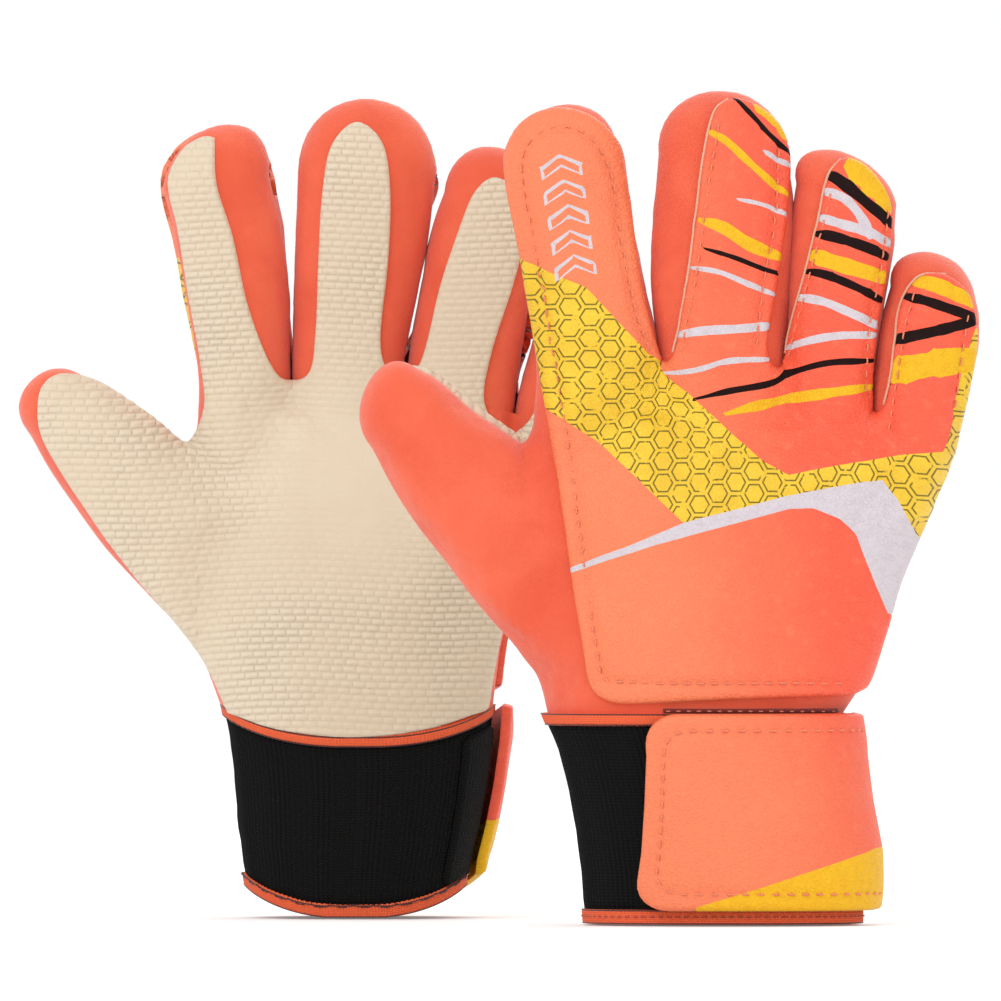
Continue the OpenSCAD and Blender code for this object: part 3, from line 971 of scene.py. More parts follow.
def hex_material(pitch=5.2):
    """Yellow print with a dark broken ring in each six-sided cell."""
    g = Graph("hex_print")
    x, z = g.x_and_z()
    turned = g.node("ShaderNodeCombineXYZ", X=z, Y=x, Z=0.0)
    cell = (1.0, math.sqrt(3), 1.0)
    p = g.vector("SCALE", i0=turned, Scale=1 / pitch)

    def centred(shift):
        moved = g.vector("ADD", i0=p, i1=tuple(40 * c + s for c, s in zip(cell, shift)))
        wrapped = g.vector("MODULO", i0=moved, i1=cell)
        return g.vector("SUBTRACT", i0=wrapped, i1=(0.5, cell[1] / 2, 0.0))

    a, b = centred((0.0, 0.0, 0.0)), centred((0.5, cell[1] / 2, 0.0))
    flat = (1.0, 1.0, 0.0)
    a, b = (g.vector("MULTIPLY", i0=v, i1=flat) for v in (a, b))
    length_a, length_b = (g.vector("LENGTH", "Value", i0=v) for v in (a, b))
    nearer = g.math("LESS_THAN", length_a, length_b)
    size = g.vector("ABSOLUTE", i0=g.blend(nearer, b, a, "VECTOR"))
    over, up, _ = g.split(size)
    slanted = g.add(g.mul(over, 0.5), g.mul(up, math.sqrt(3) / 2))
    reach = g.math("MAXIMUM", over, slanted)
    off = g.absolute(g.sub(reach, 0.395))
    line = g.sub(1.0, g.band(off, 0.018, 0.05))
    gaps = g.mul(line, g.band(g.noise(0.42, 2), 0.36, 0.46))
    yellow = g.blend(g.band(g.noise(0.09, 3), 0.3, 0.7), linear(222, 178, 38), linear(232, 192, 48))
    colour = g.blend(gaps, yellow, linear(112, 96, 14))
    return g.finish(colour, g.sub(grain(g), g.mul(gaps, 0.8)), 0.12, 0.45, specular=0.35)


def woven_material(name, main, deep, pitch, roughness=0.85):
    """Woven tape or elastic: ribs one way and picks the other."""
    g = Graph(name)
    x, z = g.x_and_z()
    rib = g.absolute(g.sine(g.mul(x, math.pi / pitch)))
    pick = g.absolute(g.sine(g.mul(z, math.pi / (pitch * 0.62))))
    weave = g.mul(rib, pick)
    fuzz = g.noise(2.5, 3)
    colour = g.blend(weave, deep, main)
    colour = g.blend(g.mul(g.band(fuzz, 0.55, 0.8), 0.3), colour, deep)
    return g.finish(colour, g.add(weave, g.mul(fuzz, 0.6)), 0.3, roughness, specular=0.15)


def pile_material(name, main, deep, size):
    """Napped loops or moulded hooks: a dense field of small bumps."""
    g = Graph(name)
    cells = g.node("ShaderNodeTexVoronoi", "Distance", Vector=g.place, Scale=size)
    colour = g.blend(g.band(cells, 0.1, 0.6), main, deep)
    height = g.sub(g.mul(g.noise(1.4, 4), 0.8), cells)
    return g.finish(colour, height, 0.5, 0.9, sheen=0.3, specular=0.2)


def thread_material(name, main, deep):
    """Twisted thread: slanted plies."""
    g = Graph(name)
    x, z = g.x_and_z()
    ply = g.sine(g.mul(g.add(x, z), 9.0))
    colour = g.blend(g.band(ply, -0.6, 0.8), deep, main)
    return g.finish(colour, ply, 0.08, 0.55, sheen=0.2)


ORANGE = knit_material("orange_knit", linear(241, 104, 69), linear(230, 88, 55))
LINING = knit_material("dark_lining", linear(52, 50, 50), linear(34, 33, 33), 1.1)
LATEX_FOAM = latex_material()
CORAL = leather_material("coral_print", linear(231, 122, 81), linear(233, 87, 60), linear(238, 132, 94))
WHITE = ink_material("white_print", linear(202, 193, 198), linear(190, 178, 184))
BLACK = ink_material("black_print", linear(22, 5, 4), linear(40, 12, 9), 0.6)
YELLOW = ink_material("yellow_print", linear(228, 176, 34), linear(220, 156, 30))
HEX = hex_material()
PRINTS = {"coral": CORAL, "hex": HEX, "white": WHITE, "black": BLACK, "yellow": YELLOW}
WEB = woven_material("black_elastic", linear(15, 15, 15), linear(7, 7, 7), 1.3)
TAPE = woven_material("orange_tape", linear(252, 118, 74), linear(240, 96, 60), 0.8, 0.7)
LOOP = pile_material("loop_pile", linear(58, 56, 60), linear(24, 24, 26), 1.6)
HOOK = pile_material("hook_tape", linear(44, 44, 48), linear(12, 12, 14), 0.9)
CORAL_THREAD = thread_material("coral_thread", linear(250, 156, 116), linear(228, 112, 76))
DARK_THREAD = thread_material("dark_thread", linear(96, 28, 24), linear(52, 14, 14))
SEAM_THREAD = thread_material("seam_thread", linear(132, 26, 20), linear(92, 16, 12))
TAPE_THREAD = thread_material("tape_thread", linear(190, 72, 46), linear(150, 50, 34))
WHITE_THREAD = thread_material("white_piping", linear(236, 186, 158), linear(226, 160, 130))


# ---- The print on the back, on the right glove ----

HEX_BAND = [
    (-54, 167), (-37, 158), (-23, 142), (-11, 132), (-1, 121), (7, 114), (13, 111), (50, 118), (51.5, 122),
    (54.5, 135), (58, 148), (64, 148), (62, 130), (54, 112), (46, 94), (43, 98), (40, 106), (36, 110.5),
    (31.5, 110), (12, 106), (-13, 99.5), (-24, 110), (-34.5, 120), (-50, 131),
]
WHITE_BAND = [
    (-46, 88), (-41, 88.5), (-26, 94), (-13, 99.5), (12, 106), (31.5, 110), (36, 110.5), (40, 106), (43, 98),
    (46, 94), (40, 76), (36, 78), (29, 97), (25, 101), (19, 103.3), (13, 103), (-20, 94), (-41, 87),
    (-46, 85.5),
]
STROKES = [  # colour, width, points
    ("black", 1.0, [(-1.5, 205), (4, 199.5), (7, 196), (13.5, 190)]),
    ("yellow", 4.2, [(4, 203), (9, 199.5), (12.5, 194)]),
    ("yellow", 1.8, [(-8, 197.5), (-2, 194), (3, 189), (8, 184), (13, 180)]),
    ("white", 1.3, [(6, 192), (9, 190), (13.5, 187.5)]),
    ("white", 1.1, [(0, 180), (6, 178.5), (13.5, 175)]),
    ("yellow", 3.0, [(-9, 175), (-3, 173), (3, 169), (12, 165)]),
    ("black", 1.2, [(-8, 168), (0, 165.5), (6, 163), (12, 161)]),
    ("white", 1.3, [(-12, 163.3), (-4, 162), (3, 159), (11, 155.5)]),
    ("white", 2.2, [(-15.5, 146), (-8, 147.5), (0, 148), (10.5, 149)]),
    ("white", 1.4, [(-17, 137), (-9, 138), (-2, 140), (9, 140.5)]),
    ("black", 1.6, [(-10, 130.5), (-2, 132.5), (7, 134.2), (15, 137), (23, 139.5), (35, 140.5)]),
    ("yellow", 2.6, [(-3, 126.5), (5, 128.8), (14, 130.5), (34, 134)]),
    ("yellow", 6.5, [(27, 188), (33, 184.5), (39.5, 177)]),
    ("black", 2.6, [(21.5, 187), (28, 182.5), (33, 178), (40, 172)]),
    ("white", 2.2, [(20.5, 182.5), (27, 180), (31, 175), (32.5, 170)]),
    ("white", 2.4, [(19.5, 176), (27, 173.5), (32, 172), (39, 168)]),
    ("black", 2.5, [(19, 171.8), (25, 170.5), (32, 168), (39, 164.5)]),
    ("yellow", 3.8, [(17.5, 167), (24, 164.5), (30, 162.5), (38, 160)]),
    ("black", 2.0, [(16.5, 162.3), (22, 161.5), (29, 158.5), (37, 154)]),
    ("white", 2.0, [(13.5, 156), (21, 155), (27, 152.5), (36, 147.5)]),
    ("white", 1.8, [(12, 142.5), (19, 145), (26, 146.3), (36, 146.5)]),
    ("yellow", 3.2, [(43, 160), (50, 158), (55, 155.5), (61, 153)]),
    ("black", 2.4, [(41, 156), (47, 154.5), (54, 152), (61, 149)]),
    ("black", 2.6, [(38, 144.5), (45, 146), (52, 147.8), (60.5, 150.5)]),
    ("yellow", 6.6, [(36, 136.2), (46, 138.6), (53.5, 140), (60, 141)]),
]
CHEVRONS = [(-39.6, 163.4), (-40.6, 169.6), (-41.5, 175.8), (-42.5, 182), (-43.4, 188.2)]
STITCH_LINES = [
    [(26, 60.5), (0, 60), (-29, 60.5), (-33, 64), (-37, 88), (-42.5, 130), (-47.7, 162), (-52.3, 186),
     (-50.5, 194), (-43.5, 197.6), (-36, 194.5), (-32, 186), (-29.5, 170), (-26.5, 155), (-22.5, 142)],
    [(-4, 199), (-6.5, 184), (-10, 158), (-13, 141.5)],
    [(9.5, 193), (9, 175), (6.3, 160), (4.5, 143)],
    [(24, 182), (20, 165), (16, 148), (14.5, 140)],
    [(36.8, 178), (35, 164), (32, 148), (31, 132)],
    [(45, 157), (42.5, 148), (41, 138), (38.8, 122)],
    [(56.8, 152), (54.6, 137), (53, 128)],
]
PIPING = [
    [(-2, 204.2), (-5.5, 201), (-8, 190), (-10, 173.5), (-13, 152), (-15, 142)],
    [(26, 189.3), (23, 185.5), (20.5, 174), (18, 163), (15.5, 153), (12.5, 141)],
    [(52, 161), (45.5, 160.5), (41.5, 154), (40, 144.5), (39, 136), (37.5, 129)],
]


def chevron(x, z, half=4.6, rise=1.3, thick=3.2, line=0.7, lean=-0.14):
    """An outlined arrowhead: a white shape and the coral one inside it."""
    def shape(inset):
        w, t = half - inset, thick / 2 - inset
        low = [(-w, -rise - t), (0, rise - t), (w, -rise - t)]
        spots = low + [(w, -rise + t), (0, rise + t), (-w, -rise + t)]
        return at([(x + a + b * lean, z + b - a * lean) for a, b in spots])

    return [("white", shape(0.0)), ("coral", shape(line))]


def warp(source, target):
    """A thin-plate map in x and z that takes each source point to its target."""
    def bend(a, b):
        r2 = ((a[:, None] - b[None]) ** 2).sum(-1)
        return r2 * np.log(r2 + 1e-9)

    n = len(source)
    plane = np.hstack([np.ones((n, 1)), source])
    system = np.zeros((n + 3, n + 3))
    system[:n, :n] = bend(source, source) + np.eye(n) * 4.0
    system[:n, n:], system[n:, :n] = plane, plane.T
    weights = np.linalg.solve(system, np.vstack([target, np.zeros((3, 2))]))
    return lambda p: np.hstack([bend(p, source), np.ones((len(p), 1)), p]) @ weights


def landmarks(side):
    """Matching points on both gloves: every cross-section's two edges and the tips."""
    rows = [*[r[:4] for r in HAND[side]], *[r[:4] for r in THUMB[side][1:]]]
    rows += [r for name in FINGERS for r in FINGER[side][name]]
    tips = [THUMB_TIP[side], *FINGER_TIP[side].values()]
    return at([q for r in rows for q in (r[:2], r[2:4])] + tips)


def brick(p):
    """The emboss on the latex: rows of short raised bars, pressed flat in the middle of the palm."""
    z = (p[:, 1] + 0.6 * np.sin(p[:, 0] * 0.09)) / ROW
    across = np.abs(np.sin(math.pi * z))
    row = np.floor(z)
    along = np.abs(np.sin(math.pi * (p[:, 0] / BAR + 0.5 * (row % 2) + 0.15 * np.sin(row * 2.3)))) ** 0.5
    worn = 1 - 0.95 * np.exp(-(((p - WORN[0]) / WORN[1]) ** 2).sum(1))
    return (across * along - 0.5) * worn


def lay(glove, skin, names, edge, way, depth, colour_of, materials, spacing, source, relief, marks=()):
    """Cuts a sheet from an outline, lays it on the skin, and closes one piece for each body it crosses."""
    flat, faces = pattern(edge, glove.cut_lines(), marks, spacing)
    seat = skin.put(flat, way)
    spin = point_normals(seat, faces)
    if (spin[:, 1] * way).mean() < 0:
        faces = faces[:, ::-1]
    design = source(flat)
    distance = gap_to(flat, edge)
    bridged = eased(seat[:, 1:2], faces, 50)[:, 0] * way
    over = np.maximum(bridged, seat[:, 1] * way) * way - seat[:, 1]
    seat[:, 1] += over * smooth(distance / 3.5)
    spin = point_normals(seat, faces)
    out = unit(eased(spin, faces, 6))
    height = depth * lip(distance, 1.25) + relief(design) * np.clip(distance / 1.6, 0, 1)
    top = seat + out * height[:, None]
    bottom = seat - out * 0.35
    shine = point_normals(top, faces)
    centre = flat[faces].mean(1)
    kinds = colour_of(source(centre))
    parts = glove.part_of(centre)
    made = []
    for part, name in names.items():
        mine = parts == part
        if not mine.any():
            continue
        points, solid, marks_of, used, walls = slab(top, bottom, faces[mine], kinds[mine])
        rest = np.stack([design[used][:, 0], np.zeros(len(used)), design[used][:, 1]], 1)
        piece = build(glove, name, points, solid, materials, marks_of, np.vstack([rest, rest]),
                      flat_walls=walls)
        shade(glove, piece, shine[used], mine.sum())
        glove.attach(piece, part)
        made.append(piece)
    return made


def threads(glove, name_of, paths, put, material, pitch=3.3, length=2.3, radius=0.33, kinked=0.35):
    """Rows of stitches along paths: each is a small rounded dash whose ends dip into the fabric."""
    by_part = {}
    profile = [(-1.0, 0.3, -kinked), (-0.62, 1.0, 0.05), (0.0, 1.05, 0.16), (0.62, 1.0, 0.05),
               (1.0, 0.3, -kinked)]
    for path in paths:
        steps = resample(path, pitch)
        middle = (steps[1:] + steps[:-1]) / 2
        spots, normals, parts = put(middle)
        ahead, _, _ = put(middle + unit(steps[1:] - steps[:-1]) * 0.4)
        along = unit(ahead - spots)
        sides = unit(np.cross(normals, along))
        for spot, n, a, s, part in zip(spots, normals, along, sides, parts):
            points, faces = by_part.setdefault(part, ([], []))
            first = len(points)
            for t, size, rise in profile:
                centre = spot + a * t * length / 2 + n * rise
                for k in range(6):
                    angle = k * math.pi / 3
                    points.append(centre + (s * math.cos(angle) + n * math.sin(angle)) * radius * size)
            faces += grid_faces(len(profile), 6, first=first)
            faces += [tuple(range(first + 5, first - 1, -1)), tuple(range(first + 24, first + 30))]
    for part, (points, faces) in by_part.items():
        if name_of(part):
            glove.attach(build(glove, name_of(part), points, faces, [material]), part)


def cord_tube(points, normals, radius, sides=8):
    """A thin tube along a line of points."""
    along = unit(np.gradient(points, axis=0))
    side = unit(np.cross(normals, along))
    up = unit(np.cross(along, side))
    a = np.linspace(0, 2 * math.pi, sides, endpoint=False)
    rings = [p + radius * (np.outer(np.cos(a), s) + np.outer(np.sin(a), u))
             for p, s, u in zip(points, side, up)]
    n = len(points)
    faces = grid_faces(n, sides)
    faces += [tuple(range(sides - 1, -1, -1)), tuple(range((n - 1) * sides, n * sides))]
    return np.vstack(rings), faces


# ---- The hand, the thumb and the fingers ----

def make_base(glove, skin_points, polygons, moved):
    side = glove.side
    skin_points = np.hstack([skin_points, skin_normals(skin_points, polygons)])

    def hand_field(p):
        q = p[:, [0, 2]]
        above = p[:, 2] - wrist_edge(glove, p)
        return np.minimum.reduce([-glove.thumb_field(q), -glove.knuckle_field(q), above])

    def thumb_field(p):
        return glove.thumb_field(p[:, [0, 2]])

    for name, part, field in (("hand_shell", "hand", hand_field), ("thumb_stall", "thumb", thumb_field)):
        points, faces = clipped(skin_points, polygons, field)
        piece = build(glove, f"{side}_{name}", points[:, :3], faces, [ORANGE])
        shade_all(glove, piece, points[:, 3:])
        thicken(piece, SHELL)
        glove.attach(piece, part)

    for name in FINGERS:
        points, _ = loft(*finger_rows(glove, name), steps=STALL_STEPS, per=14)
        rows = (len(points) - 2) // STALL_STEPS
        place, along = glove.knuckles[name]
        height = (points[:, [0, 2]] - place) @ along
        rings = height[:rows * STALL_STEPS].reshape(rows, STALL_STEPS)
        start = int(np.argmax(rings.mean(1) > -TUCK))
        points = points[start * STALL_STEPS:-1]
        height = height[start * STALL_STEPS:-1]
        below = np.clip(-height / TUCK, 0, 1)
        middle = place + np.outer(height, along)
        points[:, 0] -= (points[:, 0] - middle[:, 0]) * 0.04 * below
        points[:, 1] *= 1 - 0.05 * below
        points = moved(points + wrinkles(points))
        top = len(points) - 1
        faces = grid_faces(rows - start, STALL_STEPS)
        last = top - STALL_STEPS
        faces += [(last + i, last + (i + 1) % STALL_STEPS, top) for i in range(STALL_STEPS)]
        stall = build(glove, f"{side}_{name}_stall", points, faces, [ORANGE])
        thicken(stall, SHELL)
        glove.attach(stall, name)


def wrinkles(p):
    """Soft unevenness of stuffed fabric, out along y and x."""
    wave = noise(p, 7.0, 2.0) * 0.18
    out = unit(p - p.mean(0))
    return out * wave[:, None]


def wrist_edge(glove, p):
    """Height of the fabric's lower edge, tucked under the cuff's binding."""
    q = np.stack([p[:, 0], p[:, 1], np.full(len(p), CUFF_TOP - 1.5)], 1)
    return lift(glove.side, q)[:, 2]


def make_lining(glove):
    points, polygons = base_skin(glove, inset=2.8, voxel=2.4, fingers=False)

    def field(p):
        q = p[:, [0, 2]]
        above = p[:, 2] - wrist_edge(glove, p)
        return np.minimum.reduce([-glove.thumb_field(q) + 2, 121 - p[:, 2], above - 1])

    points, faces = clipped(points, polygons, field)
    lining = build(glove, glove.side + "_hand_lining", points, faces, [LINING])
    thicken(lining, 0.6)
    glove.attach(lining, "hand")


def make_latex(glove, skin, to_design, from_design):
    side = glove.side
    edge = outline(PALM)
    if side == "right":
        edge = resample(from_design(np.vstack([edge, edge[:1]])), 1.0)[:-1]
        edge[:, 1] = np.maximum(edge[:, 1], CUFF_TOP + 0.9)
    names = {"hand": side + "_palm_latex", "thumb": side + "_thumb_latex"}
    names.update({name: f"{side}_{name}_latex" for name in FINGERS})
    pieces = lay(glove, skin, names, edge, -1, LATEX, one_colour, [LATEX_FOAM],
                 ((0.95, 0.5)), to_design,
                 relief=lambda p: 0.5 * brick(p) + 0.25 * noise(p, 11.0, 4.0))


def make_back(glove, skin, to_design, from_design):
    side = glove.side
    edge = outline(BACK)
    stitches = [resample(spline(p, 8), 1.0) for p in STITCH_LINES]
    prints = [("hex", at(HEX_BAND)), ("white", at(WHITE_BAND))]
    prints += [(c, stroke(points, w, k)) for k, (c, w, points) in enumerate(STROKES)]
    prints += [print_ for place in CHEVRONS for print_ in chevron(*place)]
    kinds = list(PRINTS)

    def colour_of(p):
        found = np.zeros(len(p), int)
        for colour, polygon in prints:
            found[inside(p, polygon)] = kinds.index(colour)
        return found

    def relief(p):
        groove = np.min([gap_to(p, s, closed=False) for s in stitches], axis=0)
        return 0.5 - 0.75 * np.exp(-((groove / 0.9) ** 2)) + 0.35 * noise(p, 9.0, 6.0)

    marks = [m for _, m in prints]
    if side == "left":
        edge = resample(from_design(np.vstack([edge, edge[:1]])), 1.0)[:-1]
        marks = [from_design(m) for m in marks]
    names = {"hand": side + "_backhand_pad"}
    names.update({name: f"{side}_{name}_back_panel" for name in FINGERS})
    pieces = lay(glove, skin, names, edge, 1, PANEL, colour_of, list(PRINTS.values()), (1.15, 1.0), to_design,
                 relief=relief, marks=marks)

    def put(p, rise):
        return on_back(glove, skin, from_design(p), rise)

    threads(glove, lambda part: f"{side}_{part}_back_stitches" if part != "thumb" else None, stitches,
            lambda p: put(p, PANEL + 0.05), CORAL_THREAD, radius=0.22)
    for k, line in enumerate(PIPING):
        path = resample(spline(line, 8), 0.9)
        seat, normal, parts = put(path, PANEL * 0.62)
        mine = parts == FINGERS[k + 1]
        points, faces = cord_tube(seat[mine], normal[mine], 0.36)
        piece = build(glove, f"{side}_{FINGERS[k + 1]}_piping", points, faces, [WHITE_THREAD])
        glove.attach(piece, FINGERS[k + 1])


def on_back(glove, skin, p, rise, step=0.6):
    """Spots over the back of the glove, with their normals and parts."""
    seat = skin.put(p, 1)
    east, north = skin.put(p + [step, 0], 1) - seat, skin.put(p + [0, step], 1) - seat
    normal = unit(np.cross(north, east))
    normal *= np.sign(normal[:, 1:2] + 1e-9)
    return seat + normal * rise, normal, glove.part_of(p)


def make_wrist_seam(glove, skin):
    """The dark seam across the back of the wrist, just above the strap, and the stitches on it."""
    _, low, high, _ = CUFF[glove.side][-1]
    line = np.stack([np.linspace(low + 0.4 * (high - low), high - 1.5, 70), np.full(70, CUFF_TOP)], 1)
    for _ in range(3):
        line[:, 1] = wrist_edge(glove, skin.put(line, 1)) + 2.7
    spots, normals, _ = on_back(glove, skin, line, 0.1)
    points, faces = cord_tube(spots, normals, 0.6)
    glove.attach(build(glove, glove.side + "_wrist_seam", points, faces, [SEAM_THREAD]), "hand")
    threads(glove, lambda part: glove.side + "_wrist_stitches", [line],
            lambda p: on_back(glove, skin, p, 0.55)[:2] + (["hand"] * len(p),), CORAL_THREAD,
            pitch=2.5, length=1.5, radius=0.17, kinked=0.2)


# ---- The cuff ----

class Cuff:
    """Places on the cuff by angle, height and distance out of the elastic's surface."""

    def __init__(self, glove):
        self.glove = glove
        angles = np.linspace(-180, 180, 721)
        middle = self.at_angle(angles, np.full(721, 26.0), 0.0)
        run = np.concatenate([[0], np.cumsum(np.linalg.norm(np.diff(middle, axis=0), axis=1))])
        self.angles, self.run = angles, run - np.interp(0, angles, run)

    def at_angle(self, angle, z, out):
        rows = at(CUFF[self.glove.side])
        left, right, half = (np.interp(z, rows[:, 0], rows[:, k]) for k in (1, 2, 3))
        a = np.radians(angle)
        x = (left + right) / 2 + ((right - left) / 2 + out) * power(np.cos(a), 0.83)
        y = (half + out) * power(np.sin(a), 0.83)
        return lift(self.glove.side, np.stack([x, y, z + 0 * x], 1))

    def along(self, angle):
        return np.interp(angle, self.angles, self.run)

    def at_run(self, run, z, out):
        return self.at_angle(np.interp(run, self.run, self.angles), z, out)

    def sweep(self, section, steps):
        """A closed ring with the given cross-section, whose points are a height and a distance out."""
        angles = np.linspace(-180, 180, steps, endpoint=False)
        columns = []
        for z, out in section:
            run = self.along(angles)
            rise = out(run) if callable(out) else out
            columns.append(self.at_angle(angles, np.full(steps, float(z)), rise))
        columns.append(columns[0])
        points = np.vstack(columns[:-1])
        faces = []
        n = len(section)
        for j in range(n):
            for i in range(steps):
                k = (i + 1) % steps
                here, ahead = j * steps, (j + 1) % n * steps
                faces.append((here + i, here + k, ahead + k, ahead + i))
        rest = np.vstack([np.stack([self.along(angles), np.full(steps, 0.0), np.full(steps, float(z))], 1)
                          for z, _ in section])
        return points, faces, rest


def rounded_section(low, high, inner, outer, radius=0.5):
    """A strip's cross-section with rounded corners, round from the inner foot."""
    corners = [(high - radius, outer - radius, 0), (high - radius, inner + radius, 90),
               (low + radius, inner + radius, 180), (low + radius, outer - radius, 270)]
    points = []
    for z, out, turn in corners:
        for k in range(4):
            a = math.radians(turn + 30 * k)
            points.append((z + radius * math.sin(a), out + radius * math.cos(a)))
    return points


def cuff_strap(glove, cuff, name, part, span, heights, depths, material_of, materials, corners=(0, 0),
               spacing=1.2, relief=None, pillow=0.0, shift=None, marks=()):
    """A flat piece on the cuff, between two angles and two heights, with rounded corners at its ends."""
    low, high = cuff.along(span[0]), cuff.along(span[1])
    edge = rounded_box(low, high, heights[0], heights[1], corners)
    if shift is not None:
        edge = shift(edge)
    flat, faces = pattern(edge, marks=marks, spacing=(spacing, spacing))
    distance = gap_to(flat, edge)
    thickness = depths[1] - depths[0]
    rise = depths[0] + thickness * lip(distance, min(1.2, thickness * 0.6))
    rise = rise + pillow * smooth(distance / 9)
    if relief is not None:
        rise = rise + relief(flat) * np.clip(distance / 1.5, 0, 1)
    top = cuff.at_run(flat[:, 0], flat[:, 1], rise)
    bottom = cuff.at_run(flat[:, 0], flat[:, 1], np.full(len(flat), depths[0]))
    facing = point_normals(top, faces)
    centre = cuff.at_run(flat[:, 0], flat[:, 1], np.full(len(flat), -10.0))
    if ((top - centre) * facing).sum(1).mean() < 0:
        faces = faces[:, ::-1]
    kinds = material_of(flat[faces].mean(1))
    points, solid, marks, used, walls = slab(top, bottom, faces, kinds)
    rest = np.stack([32 - flat[used][:, 0], np.zeros(len(used)), flat[used][:, 1]], 1)
    piece = build(glove, name, points, solid, materials, marks, np.vstack([rest, rest]),
                  flat_walls=walls)
    glove.attach(piece, part)
    return piece


def rounded_box(x0, x1, z0, z1, corners):
    """A box's outline with one corner radius at its low-x end and another at its high-x end."""
    points = []
    for x, z, turn, r in ((x1, z1, 0, corners[1]), (x0, z1, 90, corners[0]),
                          (x0, z0, 180, corners[0]), (x1, z0, 270, corners[1])):
        r = max(r, 0.3)
        centre = (x - r if x == x1 else x + r, z - r if z == z1 else z + r)
        for k in range(7):
            a = math.radians(turn + 15 * k)
            points.append((centre[0] + r * math.cos(a), centre[1] + r * math.sin(a)))
    loop = at(points)
    return resample(np.vstack([loop, loop[:1]]), 1.0)[:-1]


def make_cuff(glove):
    side = glove.side
    cuff = Cuff(glove)

    def ribs(run):
        return 0.16 * np.sin(run * 2 * math.pi / 1.45) + 0.25 * noise(run[:, None], 9.0, 3.0)

    levels = np.linspace(3.0, CUFF_TOP - 2, 15)
    outer = [(z, lambda run, z=z: ribs(run) + 0.1 * np.sin(z * 1.3)) for z in levels]
    inner = [(z, -ELASTIC) for z in levels[::-7]]
    points, faces, rest = cuff.sweep(outer + inner, 560)
    elastic = build(glove, side + "_wrist_elastic", points, flipped_out(faces), [WEB], rest=rest)
    glove.attach(elastic, "hand")

    tapes = [
        ("wrist_binding", CUFF_TOP - 2.6, CUFF_TOP + 0.5, -1.9, 0.8),
        ("hem_binding", 0.1, 3.8, -2.4, 0.8),
    ]
    for name, low, high, inside_at, outside_at in tapes:
        points, faces, rest = cuff.sweep(rounded_section(low, high, inside_at, outside_at, 0.75), 240)
        piece = build(glove, f"{side}_{name}", points, flipped_out(faces), [TAPE], rest=rest)
        glove.attach(piece, "hand")
        for k, z in enumerate((low + 0.25, high - 0.25)):
            angles = np.linspace(-180, 180, 241)
            line = cuff.at_angle(angles, np.full(241, z), outside_at - 0.1)
            normal = unit(line - cuff.at_angle(angles, np.full(241, z), -8.0))
            tube, tube_faces = cord_tube(line, normal, 0.18, 6)
            cord = build(glove, f"{side}_{name}_line_{k + 1}", tube, tube_faces, [DARK_THREAD])
            glove.attach(cord, "hand")

    def on_cuff(out, part):
        def put(p):
            spots = cuff.at_run(p[:, 0], p[:, 1], np.full(len(p), out))
            normal = unit(spots - cuff.at_run(p[:, 0], p[:, 1], np.full(len(p), out - 5.0)))
            return spots, normal, [part] * len(p)
        return put

    turn = np.arange(cuff.run[0] + 2, cuff.run[-1] - 2, 1.15)
    swing = 0.5 if side == "left" else 0.0
    height, thread = (3.5, DARK_THREAD) if side == "left" else (2.0, TAPE_THREAD)
    zigzag = np.stack([turn, height + swing * np.where(np.arange(len(turn)) % 2, 1, -1)], 1)
    threads(glove, lambda part: side + "_hem_stitches", [zigzag], on_cuff(0.82, "hand"), thread,
            pitch=2.2, length=1.9, radius=0.18, kinked=0.15)

    cuff_strap(glove, cuff, side + "_loop_patch", "hand", LOOP_SPAN, (8, CUFF_TOP - 6), (0.1, 1.3),
               one_colour, [LOOP], (2, 2), relief=lambda p: 0.12 * noise(p, 1.1, 5.0))
    cuff_strap(glove, cuff, side + "_strap_anchor", "hand", ANCHOR_SPAN, (4.5, CUFF_TOP - 5), (0.1, 1.6),
               one_colour, [WEB], (2, 0))

    low, high = cuff.along(STRAP_SPAN[0]), cuff.along(STRAP_SPAN[1])
    z0, z1 = 3.5, 52.5
    rising = [(98, 1.0), (97, 4.4), (80, 9.3), (60, 13.6), (40, 16.8), (20, 19.0), (-20, 19.6), (-20, 0.0)]
    wedge = at([(cuff.along(angle), z) for angle, z in rising])

    def leaned(p):
        return p - np.stack([0.21 * (p[:, 1] - 30) * (p[:, 0] - low) / (high - low), 0 * p[:, 1]], 1)

    def print_of(p):
        return np.where(inside(p, wedge), 1, 0)

    seam = rounded_box(low - 6, high - 4.5, z0 + 4.2, z1 - 4.2, (3, 5))
    seam = leaned(seam[seam[:, 0] > 4])
    start = int(np.argmax(np.linalg.norm(np.diff(seam, axis=0, prepend=seam[-1:]), axis=1)))
    seam = np.roll(seam, -start, 0)

    def relief(p):
        return -0.45 * np.exp(-((gap_to(p, seam, closed=False) / 0.9) ** 2)) + 0.2 * noise(p, 12.0, 2.0)

    strap = cuff_strap(glove, cuff, side + "_strap", "strap", STRAP_SPAN, (z0, z1),
                       (STRAP_OFF, STRAP_OFF + STRAP), print_of, [CORAL, YELLOW], (0, 7.5),
                       relief=relief, pillow=0.5, shift=leaned, marks=[wedge])
    threads(glove, lambda part: side + "_strap_stitches", [seam], on_cuff(STRAP_OFF + STRAP + 0.12, "strap"),
            CORAL_THREAD, radius=0.22)
    cuff_strap(glove, cuff, side + "_hook_patch", "strap", HOOK_SPAN, (11, CUFF_TOP - 9), (1.75, 2.85),
               one_colour, [HOOK], (1.5, 1.5), relief=lambda p: 0.1 * noise(p, 0.9, 1.0))


def flipped_out(faces):
    return [tuple(reversed(f)) for f in faces]


# ---- Both gloves ----

marks = {side: landmarks(side) for side in ("left", "right")}
left_to_right = warp(marks["left"], marks["right"])
right_to_left = warp(marks["right"], marks["left"])

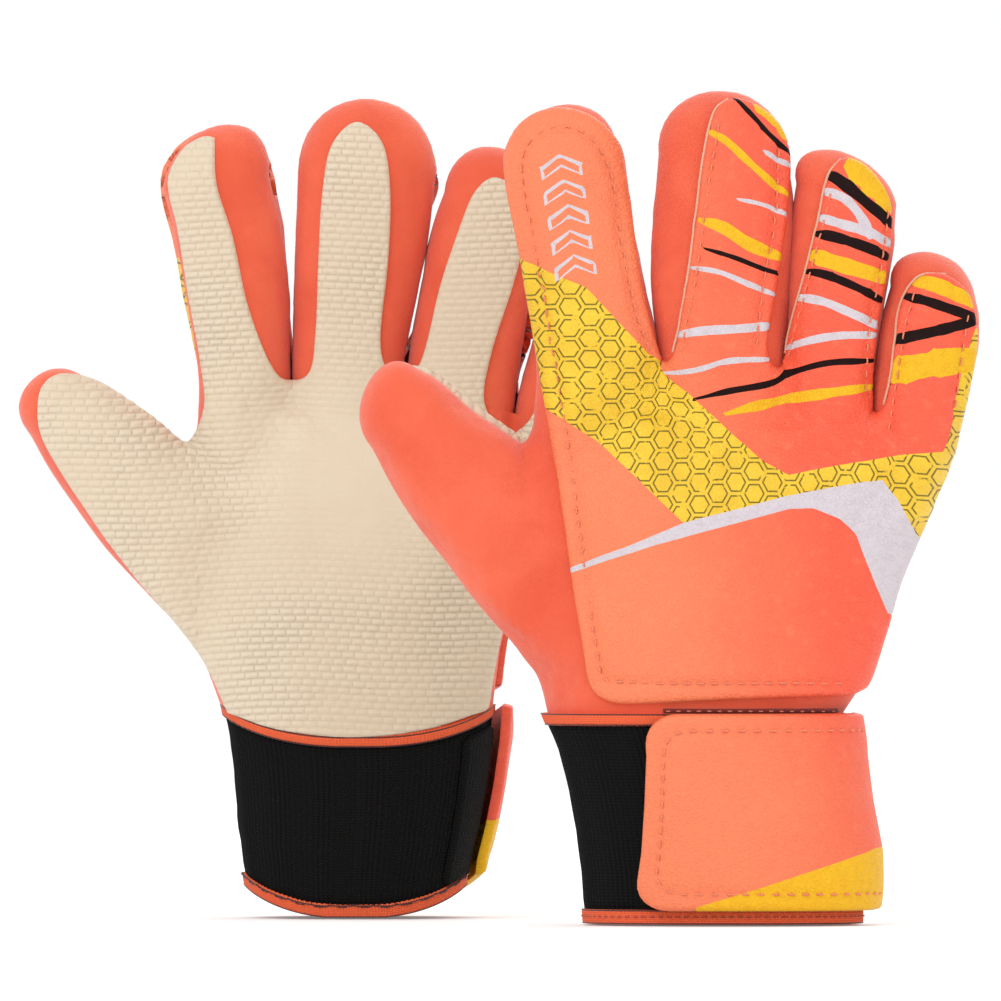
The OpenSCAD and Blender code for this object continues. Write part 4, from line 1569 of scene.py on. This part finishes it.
for side in ("left", "right"):
    glove = Glove(side)
    points, polygons = base_skin(glove)
    moved = settled(glove)
    points = moved(points)
    skin = Surface(points, polygons)
    make_base(glove, points, polygons, moved)
    make_lining(glove)
    if side == "left":
        make_latex(glove, skin, same, same)
        make_back(glove, skin, left_to_right, right_to_left)
    else:
        make_latex(glove, skin, right_to_left, left_to_right)
        make_back(glove, skin, same, same)
    make_wrist_seam(glove, skin)
    make_cuff(glove)

# ---- Camera, light and floor ----

FRAME_WIDTH = 0.2503
LENS = 1500.0
AIM = Vector((-0.0008, 0.0, 0.1049))
TILT = math.radians(0.4)


def make_camera():
    data = bpy.data.cameras.new("camera")
    data.lens = LENS
    away = FRAME_WIDTH * LENS / data.sensor_width
    data.clip_start, data.clip_end = 0.1, away * 4
    camera = bpy.data.objects.new("camera", data)
    camera.location = AIM + Vector((0, -math.cos(TILT), math.sin(TILT))) * away
    camera.rotation_mode = "QUATERNION"
    camera.rotation_quaternion = (AIM - camera.location).to_track_quat("-Z", "Y")
    bpy.context.scene.collection.objects.link(camera)
    bpy.context.scene.camera = camera


def make_light(name, place, size, watts, colour=(1, 1, 1)):
    data = bpy.data.lights.new(name, "AREA")
    data.size, data.energy, data.color = size, watts, colour
    light = bpy.data.objects.new(name, data)
    light.location = place
    light.rotation_mode = "QUATERNION"
    light.rotation_quaternion = (Vector((0, 0, 0.1)) - Vector(place)).to_track_quat("-Z", "Y")
    bpy.context.scene.collection.objects.link(light)


def make_floor():
    mesh = bpy.data.meshes.new("floor")
    half = 16.0
    corners = [(-half, -half, 0), (half, -half, 0), (half, half, 0), (-half, half, 0)]
    mesh.from_pydata(corners, [], [(0, 1, 2, 3)])
    g = Graph("floor_white")
    texture = g.node("ShaderNodeTexNoise", "Fac", Scale=3.0)
    g.shader.inputs["Emission Color"].default_value = (1, 1, 1, 1)
    g.shader.inputs["Emission Strength"].default_value = 0.16
    white = g.blend(texture, (0.86, 0.86, 0.86, 1), (0.9, 0.9, 0.9, 1))
    mesh.materials.append(g.finish(white, roughness=0.9))
    floor = bpy.data.objects.new("floor", mesh)
    floor.location.z = -0.0003
    bpy.context.scene.collection.objects.link(floor)


def make_world():
    world = bpy.data.worlds.new("studio")
    world.use_nodes = True
    world.node_tree.nodes["Background"].inputs["Color"].default_value = (1, 1, 1, 1)
    world.node_tree.nodes["Background"].inputs["Strength"].default_value = 1.0
    bpy.context.scene.world = world


make_camera()
make_world()
make_floor()
make_light("key", (-0.9, -1.8, 1.6), 1.2, 17)
make_light("fill", (1.4, -1.6, 0.8), 1.4, 4)
make_light("back", (0.6, 1.8, 1.4), 1.4, 12)
bpy.context.scene.view_settings.view_transform = "Standard"
